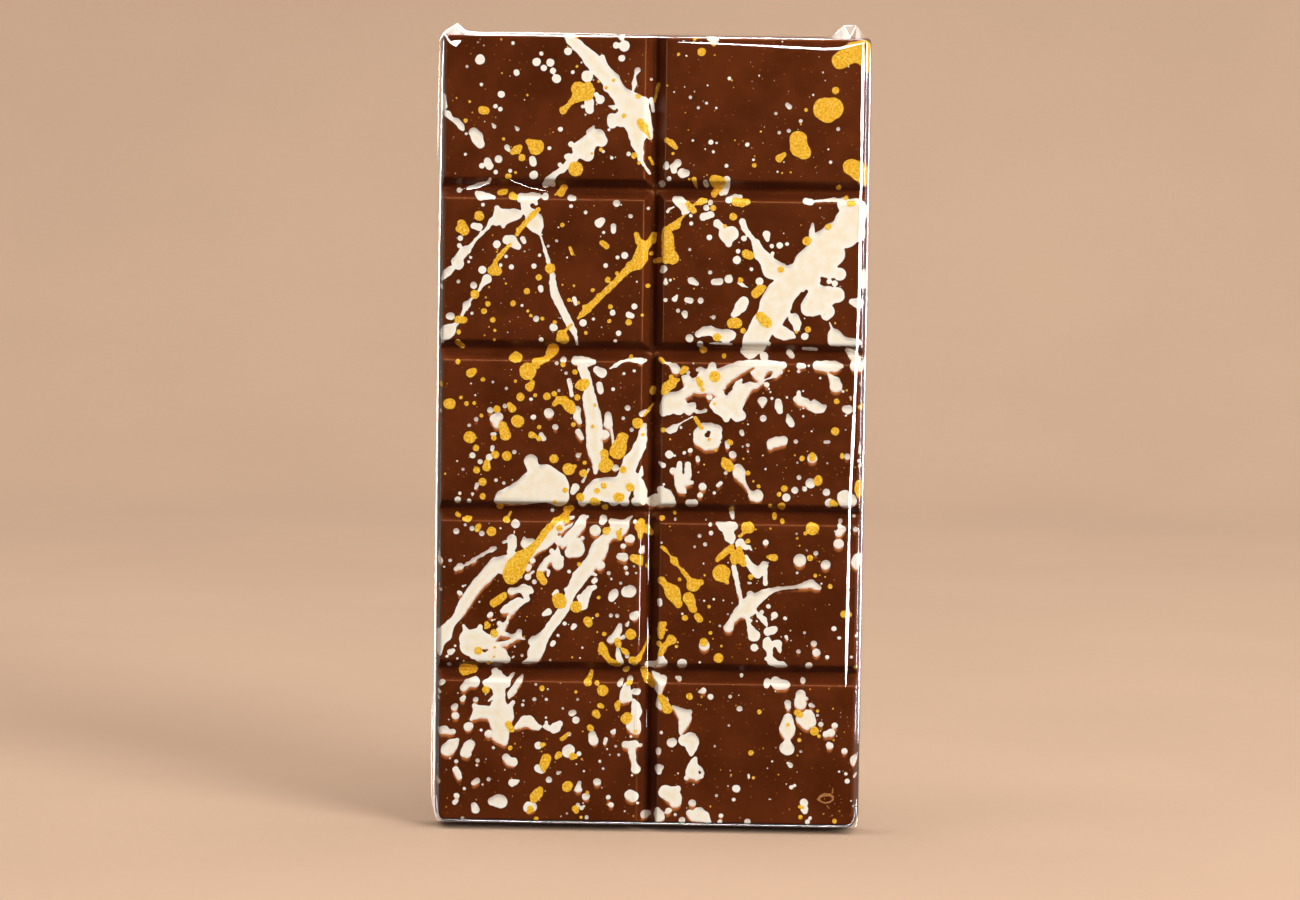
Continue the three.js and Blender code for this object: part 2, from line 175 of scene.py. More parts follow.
19.8,87,1.2>20.5,86.3,1.2>21.6,87.2,1.4>23.2,87.4,1; 20.3,84.9,.15>22,85.8,.2>23.5,86.2,.4>24.3,86.9,.5;
2.7,75.6,.3>3.5,75.5,.6>4.3,76,.7>5,76.6,.2>6.5,77.5,.15>7.8,78.2,.2; 5.6,76.1,.3;
9.2,74.8,1.3>9.2,73.8,1.2>10.5,73.2,1.3>11.6,73.3,1.4>12.3,74.5,1.1>12.3,75.8,.9>11.2,76.4,.7>9.9,76.2,.8>9.2,75,1.1;
13,75.8,.5; 7.3,74.8,.22; 6.3,71.3,.35; 7.4,71.7,.45; 8.8,70.4,.4>8.9,69.9,.45; 3.4,70.9,.8; 4.5,70.7,.2;
2.3,68.8,.55>1.6,69.3,.3; 4.2,67.8,.7>4.8,67.5,.6; 5.4,69.2,.5>5.3,68,.6>5.3,66.8,.8>5.5,65.3,.9>5.8,64.3,.8
>6.5,63.7,.3;
7,69,.6>7,68,.6>7,67,.7>6.8,66.5,.7>6.5,65.5,.6>7.8,65.6,.4; 2.5,65.2,.22; 2,64,.8>2.8,63.2,1.2>3.3,62.2,1.3>4,61.6,.8;
.2,61.6,1>1.2,62.1,1.1>2,61.6,1; 9.8,64.8,.75; 9.4,63.2,.55; 12.1,63.7,.35; 12.8,65.1,.4>13.3,65.6,.4;
7.3,61.7,.7>8.3,61.7,.7; 9,67.6,.2; 14.2,67.5,.3; 17.1,75.4,.5>17.3,75,.4; 14.5,72.6,.5>14.3,73.4,.4; 17.4,72.6,.27;
18.4,71.7,.25; 18.3,72.9,.4; 15.5,71,.75;
16.5,68.3,1>16.8,67.5,1.15>17.2,66.5,.7>18,65.3,.3>18.8,64,.3>19.6,63.2,1>20.1,63.2,1.3; 21.75,84.5,.5; 22.2,83.7,.18;
22.5,83.1,.22; 22.8,81.9,.3; 21,81.3,.95>21,80.3,.3; 21.2,78.1,.6; 24,81.3,.6>24.1,80.3,.7>24.3,79.5,.6; 25.6,82.1,.22;
25.9,78.7,.3>26.1,77.8,.6>26.6,77,.6; 27.9,83.2,.35>27.8,82.2,.4;
27.4,81.8,.6>28.3,81.4,.8>29.2,81.2,.7>30.2,80.5,.8>31.2,80.3,1.1>32.2,80.1,.8>32.9,80.5,.4; 30.8,81.3,.5;
28.7,83.4,.2; 28.8,80.1,.2; 28.8,78.6,.25; 22.8,73.3,.9>23.8,73.6,.95>25,73.8,.95; 22.6,72.5,.5; 27.4,73.7,.45;
21.8,68.4,.22; 30.6,70.6,.95; 33.5,69.7,.25; 27.8,69.7,.2; 30.4,65.8,.95; 29.3,64.7,.45; 27.4,64.4,.6; 25.8,63,.8;
33.4,64.1,.7; 34,62.1,.85; 36.8,63.3,1.3>37.2,62.6,1.4>38,62.6,1.3; 28,88.1,.6>28.7,88.1,.5; 29.7,88.2,.25;
27.8,87.1,.35; 31.3,88.2,.9>33,88.1,1>34.7,88.1,.95>35.8,88.2,.5; 33.3,86.9,.2>34,86,.5>34.7,85.2,1>34.9,84.4,1.2;
31.9,85.9,.22; 37.3,80,.9>36.8,80.1,.7; 37.7,82.3,.28; 36.9,78.8,.2; 36.9,76.1,.2; 37.3,71,.65;
33,73.7,.25>33.7,73.8,.25;
36.3,83.4,.2; 28.2,66.9,.5; 38.5,88.2,1>39.5,88.5,1.2>38,90.3,.8>36.9,91.2,.4; 39.6,85,.3; 39.7,72.8,.35>39.6,71.8,.3;
39.5,70.2,.35; 39.8,69.2,.4; 21.2,89.7,.8; 26,90.5,.6>26.5,89.9,.5; 17.5,90.8,.8>19,90.7,.9;
-37,55.6,.6; -34,56.2,.48; -35.3,56.9,.3; -32.1,55.3,.48; -25.7,57.2,.85; -25.8,56.1,.12>-26,55.4,.15;
-26.4,54.3,.95>-26.3,53,.8>-26.6,51.9,.6>-26,50.5,1; -24,54.5,.3; -28,53.6,.25>-27.6,53.8,.3;
-29.6,52.5,.3>-30.2,52.2,.4>-31,51.8,.2>-32,51.2,.3>-33,50.6,.2>-33.6,50.1,.45>-34.3,49.7,.2>-34.8,49.4,.35
>-35.3,49.1,.15; -36.2,48.9,.7; -37,48.4,.45; -38.1,50,.35; -39.9,49.9,.75; -40,51.2,.3; -39,48.8,.18; -39.6,44.4,.3;
-36.2,43.7,.45>-36.4,43.9,.35; -35.6,45.1,.22; -35.1,45.3,.2;
-14.8,58.2,.5>-15.8,57.6,1>-17,57,1.1>-18.3,55.7,1.2>-19.5,54.3,1.15>-20.5,53.4,1.1>-21.5,52.8,1>-22.8,51.8,1
>-24.5,51,1>-26,50.3,1.3>-27.8,49.3,1.8>-29.3,49.3,1.4>-30.5,48,1.3>-31.5,46.8,1.2>-32.8,45.5,1.15>-33.7,44.3,1.1
>-34.5,43,1.05>-35.3,41.7,1.1>-36,40.4,1>-36.8,39.1,.75>-37.8,37.9,.8>-38.5,36.7,1>-39,35.7,1.3>-39.8,34.8,1.2
>-40,33,.9>-39.9,32.2,.7; -23.8,53.5,.9>-22.5,53.8,.6; -22.4,50.2,.6; -23.3,48.7,.6>-23,49.1,.5; -24.6,47.1,.4;
-23.3,47,.65; -22,46.1,.5; -22.2,48.1,.2>-22.7,47.7,.15;
-26.3,44.2,.75>-25.2,44.5,.5>-24,44.7,.9>-23,44.6,.7>-22.6,44.3,.5; -23.7,43.9,.7>-23.3,42.8,.4>-24,42.2,.3;
-25,42.2,.9>-26,41.4,1>-27.2,40.8,.8>-28,40.4,.5; -26.3,40.3,.6; -30.3,39.7,.5>-30.6,39.5,.4; -38.2,38.2,.25;
-28.6,38,.5; -30,38.6,.18; -29.5,38.8,.15; -35.4,37.5,.3>-35.1,36.8,.4>-34.6,35.8,.8; -32.3,37.3,.5>-32.5,36.3,.6;
-34.5,35,1.7>-33,35,1.9>-31,34.5,1.4; -34.3,33.5,1.8>-32.5,33.5,2.2>-31,33.3,2>-30,32.5,1.8>-28.5,32,1.4>-27.3,31.2,.9;
-32,31.8,1.4; -30.5,31.2,1; -33.5,31.8,.7;
-30.5,34.5,1>-29.5,35.5,.7>-28.5,36.5,.7>-28,37.3,.6>-27.2,38.3,.3>-26.8,39.3,.3>-26.5,40,.3;
-27.8,36,.5>-27,35.8,.3>-26.2,35.6,.3>-25,35.8,.6>-24.8,36.5,.5; -24.8,35.3,.3>-23.8,35.1,.2;
-28.9,34,.5>-27.3,34.2,.5>-26.3,34.7,.4>-25.3,35.2,.3; -25.6,33.6,.25; -26,32.5,.18; -26,31.5,.2; -24.2,31.9,.35;
-37.9,32.4,.6>-37.4,32.7,.4; -36.6,31.2,.28; -37,33.6,.25; -38.2,29.8,.4; -38.5,31.5,.3; -35.4,30.7,.2;
-12,58.6,.25>-13,58.2,.7>-13.3,57.2,1>-14.2,56,.95>-15.3,55,.8>-16.3,53.9,.7>-17.2,52.8,.5>-17.8,51.6,.6>-18.5,50.8,.7
>-19.5,50,.8>-20.3,49,.7>-21,48.3,.5; -12.9,54.7,.4; -14.3,53.2,1.6>-14,52.5,1.5>-15.3,51.8,1;
-17.4,54.4,.5>-17.4,53.9,.7;
-17.5,49.6,1.1>-17.3,50.8,.9; -19.3,48.2,.3>-19.4,47.3,.25; -18.8,59.6,.35; -18.7,52.1,.5; -10.5,56.1,1.1;
-9.6,54.5,.35;
-9,58.2,.8>-9.2,57.8,.6; -7.5,57.9,.5>-6.5,57.2,1>-5,57.2,1>-4.3,58.2,.4>-3.5,58.8,.2;
-5.2,56.3,.9>-6.3,56.2,1.5>-7.7,55.5,1>-8.8,54.3,1>-9.5,53,1.6>-10,51.8,1.6>-10.8,50.3,1.4>-11.8,49.2,1.3
>-12.5,48.2,1.35
>-13.3,47.2,1.4>-14,46,1.2>-14.6,45,1>-15.2,43.8,.85>-15.6,42.5,.9>-16.2,41.2,.9>-17,40,.95>-17.8,38.8,.95
>-18.8,37.5,.95>-19.6,36.3,.9>-20.6,35,1.2>-21.2,33.5,1.4>-21.8,32.2,1.4>-22,31.4,1>-23,30.8,.6>-24,30.5,.3;
-22.5,34.6,.6>-22,35,.7; -9.3,49.5,.8>-9.6,49,.5; -10.9,47.9,.3>-10.2,47.6,.15; -10.4,46.6,.45>-10.7,46.4,.4;
-15.4,48.2,.35; -15.9,44.7,.45; -17.7,44.3,.45>-18.3,43.8,.35; -13.3,43.3,.5;
-10.4,45.3,.35>-11.5,44.9,.6>-12,44,.8>-12.5,42.8,.9>-12.7,41.8,.9>-13.5,41,.5; -19.2,40.4,.65>-20.1,39.9,.4;
-5,51.1,.85>-5.7,51.2,.7; -3.8,54.7,.9>-4.2,54.6,.7; -5.1,53.2,.5; -2.9,57.9,.4; -1.6,52.3,.55>-1.3,53.2,.15;
-4.6,49.1,.4; -4.3,48,.3; -3,49.4,.3; -2.6,48.1,.22; -7.8,48,.4; -5.5,46.1,.32; -7.3,46.9,.2;
-4.3,44.5,1.1>-3.7,44.6,1.2;
-6.6,44.4,.7>-6.9,43.9,.85>-7.2,43.2,.7; -2.9,39.8,.9>-2.4,40.2,.6; -4.2,38.1,.4>-3.8,38.8,.1; -7.3,39.9,.35;
-6.1,39.8,.4; -5.5,38,.4>-5.8,37,.6>-6.3,36,.7>-7.2,35.2,.7>-7.5,35,.5; -4.8,35.8,.45>-5.3,35.5,.3;
-5.9,33.5,.3>-5.8,32.3,.45>-5.5,31.3,.55>-5.2,30.8,.5; -4.1,32.1,.45; -14.3,37.8,.5>-14.6,37.3,.4; -16.1,38.2,.4;
-18.2,34.5,.45>-18.5,34.1,.4; -17.4,35.9,.3; -12.7,33.6,.22; -13.1,31.6,.2; -18.8,31.1,.25;
4.7,58.4,.25; 10.6,58.4,.22; 11.4,57.6,.38; 11.6,56,.42; 9.4,55.4,.38; 10.5,53.8,.38; 8.5,53.3,.3; 2.2,54,.2;
12.7,57.8,.3>13.8,57.2,.8>15,57,1.1>16,57.4,.7; 14.8,56.2,1>15.2,55.2,1>15.5,54.3,.5;
17.2,54,1>18.2,53.4,.4>18.9,53.4,.35; 19.3,52.9,.2;
18.3,51.6,.3>18.8,50.3,.6>19.7,49.3,.8>20.6,48.4,.9>21.3,49,.9>21.9,50,.8; 22,48.8,.4>22,47.5,.35>22.1,46.5,.5;
19.3,46.5,.25>18.9,46.5,.25; 16,49.6,.5>16.3,48.3,.45>16.7,46.5,.4>17.1,44.7,.4>17.5,43,.35>17.6,42.2,.4;
15.2,37.9,1>15.7,39.1,.5>16.3,39.9,.7>17.2,41,1>18.4,41.9,1.4>19.6,42.9,1.4>20.7,43.6,1.1>21.8,44.4,.9>23,45,.6
>24.5,45.5,.4>26,45.7,.25>27.5,45.8,.25>28.6,46,.4>29.8,46.3,.7>30.8,46.6,.75>31.7,46,.6>32.3,45.8,.5;
18.3,41,1.3>19.2,41.3,1.2; 19.2,44.4,.6; 18.6,40.2,.5>18.8,39.3,.3>19.1,38.3,.35>19.4,37.6,.7>20,36.5,1.25;
20.1,34.1,.7; 20.3,41.2,.15>21,40.2,.4>21.8,39.5,.6>22.3,38.7,.3>22.5,38.2,.1; 21.5,41,.4; 22.7,42.1,.5; 23.9,40.4,.65;
25.9,39.8,.35; 23.4,39.6,.2; 20.6,39.2,.25; 20.9,38.2,.2; 19.4,39.3,.3; 22.6,37.2,.8>23.6,37.5,.7>24.1,37.8,.4;
22.8,36,.3>22.6,35.3,.8>22.8,34.6,1>23.1,33.3,.5>23.1,32.3,.45>23.5,31.5,.75>24.5,31,.6>25.5,30.9,.6>26.2,30.7,.35;
22.4,32,.3; 24,35.1,.5>24.7,34.9,.7>25,33.7,.35>25.1,33.2,.2; 26.2,36.3,.35>26.4,35.8,.2; 29.7,37.1,.3; 27,37.5,.18;
31.5,35.1,.6; 32,33.3,.75; 34.1,32.5,.45; 28.6,33.5,.4; 30.6,30.8,.65; 35.3,38,.45; 36.3,36.2,.4; 13.5,38.2,.25;
6.3,40.4,.22; 12.3,43.3,.3; 14.1,43.1,.22; 15.8,42.6,.2; 15,40.5,.15; 10.6,34.4,1.05; 6.4,30.8,.95; 9.8,31.1,.22;
2.7,31,.9>2.4,31.8,.6>2,30.7,.7>.6,30.4,.5>-.3,30.3,.5; 2,42.8,.5>2,42.2,.5; 22,54.3,.6; 28.6,51,1.2; 31.6,52.4,.42;
33.5,50.2,.95; 27.9,56.1,.25; 29.9,52.9,.22; 28.1,48.6,.25; 36.2,58.5,.35; 36,57.7,.35>36.5,57,.6>35.9,56.3,.75;
36.8,57.1,.5; 35.9,54.3,.95; 39.5,51.7,.8>39.3,50.8,1>39.4,50,.7; 39.1,57.1,.5; 38.8,59.4,.3; 39.6,36.7,.35;
38.7,32.6,.3; 15.5,59.8,.5>15.7,58.8,.3;
-39.4,26.3,.4>-39.1,26.6,.4; -39.7,24.7,.4; -39.8,23.4,.3; -35.3,25.5,.75>-34.5,26.4,.75>-33.2,26.6,.95;
-31.5,26.6,.3>-30.8,26.4,.8>-29.3,26.8,1.3>-28,26.6,1.2>-27.2,26.5,.8>-26.8,26.2,.3;
-29.5,28.4,.7>-28.7,28,.5>-28.7,26,1.3>-28.5,24.5,1.1>-28.4,23,1.05>-28.5,21.7,1.7>-28.6,20.4,2.2>-28.2,18.8,2
>-28.1,17,1.6>-27.9,16,1.3>-27.5,15,.6; -26.9,21.3,1.1>-26.7,20,1; -28.7,16.3,1.2;
-30.4,20.8,1.2>-31.5,20.9,1.25>-32.3,20.9,1.2>-33,20.2,.7>-33.5,19.8,.35>-33.8,19.4,.3; -33.2,22,.5>-32.7,21.3,.6;
-30.4,16.7,.8; -27.2,26.6,.4>-26.8,27.1,.3>-26.2,27.8,.2>-25.8,28.2,.15; -30.6,23,.15>-30,23.5,.2>-29.6,24,.2;
-25.8,22.9,.4>-26.2,22.3,.4>-26.6,21.6,.4;
-26.6,23.7,.2>-26.3,24.5,.6>-25.8,25.1,.6>-25.2,26.2,.5>-24.7,26.9,.5>-24.3,27.5,.25>-24.1,27.9,.15;
-35.5,23.3,.5>-35.2,23.7,.4; -33,23.3,.55; -37.1,21.7,.65>-36.9,22,.5; -36.8,20.1,.7; -36.4,24.5,.18;
-34.4,18,.85>-34.2,18.1,.8; -31.9,17.4,.32; -39.3,17.2,.7>-38.8,17.3,.75>-38,16.9,.5>-37.3,17,.6; -38.1,19.3,.15;
-38.3,13.2,1>-38,13.7,1.25>-37.4,14.5,1.15>-36.5,15.4,.4; -35.3,12.6,.5>-34.9,13,1>-34.3,14.1,1>-33.9,14.6,.85;
-34.5,12.7,.8; -36.6,11.3,.42; -36.7,9.6,.7>-36.3,8.9,.6>-36,8.2,.55; -39.8,7.4,.6; -32.5,11.5,.4; -32.7,10.6,.2;
-30.9,11.8,.2; -29.5,14,.3; -27.1,12.2,.7>-26.4,11.4,.8>-25.7,11.3,.9; -27.3,9.8,.2;
-25.8,7.3,.8>-25.3,7.4,.55>-24.6,7.7,.15;
-30.4,7.9,.45; -33.2,7.1,.5>-32.5,7.6,.55; -31.5,6.9,.25; -35,6,.3; -36.5,4.6,.55; -36.9,3.3,.45>-36.6,3.6,.4;
-32.7,3.9,.2; -33.1,2.8,.6>-32.8,2,.75; -29.7,3.6,.8>-28.5,3.7,1.2>-28,3.6,1.3; -22.5,2.6,1.1>-21.9,2.7,.85>-23,2.4,.7;
-35.3,.3,.3; -25.2,18,.4>-24.5,18.5,.6>-23.6,19.2,1>-22.8,19.3,1>-21.9,18.5,.8>-21,18.1,.5>-20.5,18.3,.2;
-19.5,18.3,.5>-19,18,.5; -18,17.7,.7>-17.6,18.1,.9>-16.9,18.8,.6; -21.8,23.5,.42; -23.8,23.2,.25; -24,22.4,.32;
-21.5,26.4,.28; -19.2,25.5,.2; -19.5,23.5,.3; -19.5,20,.22; -19.4,19.1,.3; -20.9,14.6,.7; -21,10.2,.75>-20.2,9.8,.7;
-18.8,8,.6; -19.5,5.8,.22; -16.8,26.7,.22; -13.5,23.6,.28; -16.3,21.8,.25; -14.6,20.9,.6>-14.2,21.1,.5; -13.8,19.6,.7;
-15.1,16.9,.45; -15.2,13.5,1.2>-15,13.8,1.1; -13.1,13.1,.5; -10.6,16.8,.75>-10.4,15.8,.9>-10.3,15.5,.85;
-6.6,17.4,.5>-6.3,17.9,.2; -8,16,.35>-8.2,15.2,.35; -6.1,14.7,.3; -5.5,13,.25; -7.2,13,.2; -9.1,11.7,.35; -8.4,10.3,.22;
-12.1,9.7,.25; -17.1,9.3,.4>-16.6,9.5,.2; -9.6,7.7,.75; -13,7.5,.4>-13.2,6.5,.5>-13.3,6.2,.65; -12.8,6.1,.4;
-11.7,4.8,.75; -7.4,4.8,.42; -6.9,3.3,.5; -13.2,3.2,.4; -12.5,2.6,.4; -12,3,.25; -11.5,.8,.35; -15.3,1.5,.2;
-4.2,2.1,.2;
-3.2,5.2,1.1>-2.8,5,1.15; -1.8,3.7,.28; -5.5,26.7,.55>-5,27.4,.3; -4.1,26.3,.7>-4.3,25.2,.9>-4.3,24.5,1.1>-4.7,23.8,.8;
-3.8,23.9,.7; -3.3,25.2,.2>-2.6,25.3,.5>-2.1,25.3,.6; -3.5,27.5,.6;
-2.7,23.5,.4>-2.4,22.5,.8>-2.2,21.2,1>-2.6,20,.7>-2.7,19,1.3>-2.4,18,1>-1.9,17.4,.3; -3.5,18.5,.6;
-4.2,15,.7>-3.3,14.9,.7>-2.5,15.1,.8; -3,14.5,.8>-3,13.6,.65>-2.8,12.6,.6>-2.5,11.3,.45>-2.2,10.3,.95; -2.9,9.1,.3;
-1.4,14.8,.35; -3.2,16.6,.25; -.4,1.2,.9>.3,1.5,.5; .8,28.7,.3>1.6,27.9,.7>2.2,27,1>2,26,.8>2.2,25.2,.4>2.1,24.8,.2;
2.9,27.3,.6>3.1,27.7,.4>2.8,28,.3; 2.2,23.8,.6>2.2,22.8,.6>2.5,22.3,.5; 3.7,23.7,.35>3.6,24.3,.15;
4.8,22.5,.3>5.5,22,.5>6.3,21.3,.9>7,20.8,1.2>7.2,20.2,1.1>6.9,19.3,.95>6.6,18.4,.6>6.4,17.7,.4>6.3,17.2,.2; 8,21.5,.5;
4.6,15.5,.95>4.8,15.6,.85; 7,16,1.1>8.2,16,1.5>8.6,15.7,1.2>8.4,14.6,1>8.4,13.8,.5>8.4,13.3,.3;
9.2,12.5,.4>8.9,11.8,.7>8.7,10.8,1>8.6,9.8,1.2>9,9.3,.8>9.5,8.8,.5>10.3,9.1,.4>10.6,9.7,.25>10.4,10.3,.2>10,10.7,.3
>9.6,11,.4; 7.5,8.7,.5; 2.6,17.4,.32; 2.1,14,.5>2.1,13.5,.4; 2.3,9.8,.5>2.2,10.6,.7>2.8,10.8,.4; 5.9,9.6,.22;
3.2,5.8,1>3.6,6,1.2>4.3,5.6,1.4>5,5.8,1.2>5.9,6.6,.6; 4.6,5.2,1.2>5.3,4.8,1.3>5.5,4,1.1; 4.6,2.4,.2>4.1,2.3,.5>3.8,2,.3;
8.7,3.9,.7; 6.8,.6,.6; 5.5,1.6,.3; 8.2,1.9,.7>9,1.3,.9>10,1.6,1.3>11,1.3,1>11.5,.7,.7>12.2,.3,.3;
9.8,2.5,.5>10.3,2.6,.5;
2.1,2.5,.5>2.4,1.6,.9>2.6,1,.75>2.2,.5,.5; 14.2,1.5,.45; 14,.3,.5; 19.3,.4,.65; 10.5,25.6,.65>9.7,25.4,.2; 11.9,24.5,.6;
15.7,24.6,.38; 17.5,22.3,.55; 15.5,19,.25; 12.9,15,.25; 15.9,10.3,.2; 19.4,9.5,.22>19.5,9,.2; 17.1,6.8,.75;
16.6,4.7,.35;
13.3,5.4,.3; 15.5,7.3,.18; 5.9,27.7,.4>5.3,27.9,.2; 17.8,28.4,.4; 22.7,27.4,.6>22.6,26.9,.6;
24.2,27.4,.9>24.8,27,.9>26,26.9,.75>26.5,27,.6; 29.5,27.7,.5; 26.7,23.5,.7>26.8,22.8,.45>26.8,22,.1;
26.8,20.7,.8>26.8,19.7,1.1>26.7,18.6,1.5>26.8,17.7,1.2>26.7,16.6,.4>26.7,15.6,.8>26.6,14.9,1.25>26.9,14.7,1.2;
27.4,11.5,.5>26.8,12,.2; 23.9,12.2,.2; 29.3,14.2,.25; 29.1,25.2,.95>29,24,1>29.2,23.3,1.1; 28.7,23.5,.8; 30.3,24.4,.35;
31.1,23.2,.5>31.6,23,.35; 29.5,20.5,1.2>30.6,20.7,1.4>31,20,1.1>30.2,19.5,1>30.5,18.7,.4; 30.5,21.8,.6>31,22,.3;
32.4,21.2,.3; 33.1,19.5,.45; 33,18.2,.2; 34,17.6,.6>34.6,17.8,.5; 35.1,17.9,.8; 35.7,19.3,.55; 36.2,17.3,.2;
34.8,15.4,.75>34.7,15.5,.6; 37.7,14.4,.55; 39.6,13,.6>39.5,12.6,.7>39.4,12,.5; 36.7,10.4,.22; 38,10,.32; 38.3,8.6,.5;
39.8,9.5,.4; 39.1,4.8,.25; 39.5,3.8,.2; 27.6,7.2,.38; 28.3,7.6,.28; 30.1,4.3,.75; 30.2,3,.7>30.3,2.6,.5; 30.8,.6,.5;
31.3,1.3,.35; 23.5,4.9,.2
"""
IVORY_GAPS = """
26.4,98.5,.45>27.6,100.3,.5>29,102.3,.35; 9.3,80.7,.9>10.2,80.8,.7; 10.6,74.7,.5;
21.4,85.7,.15>22.1,86.3,.4>22.5,86.8,.3;
15.2,84.9,.3>17,86.1,.35>19.2,87.6,.2; 14.2,82.6,.3>13.9,83.3,.3; -32,33,.12>-31.4,32.7,.2>-30.9,32.9,.2;
-16.3,57,.12>-15.4,57.6,.25>-14.3,58.2,.2; -17.3,53,.2>-16.6,51.6,.4; -19,49.6,.3>-19.4,48.9,.25; 10.1,9.8,.25;
-17.4,55.3,.35
"""
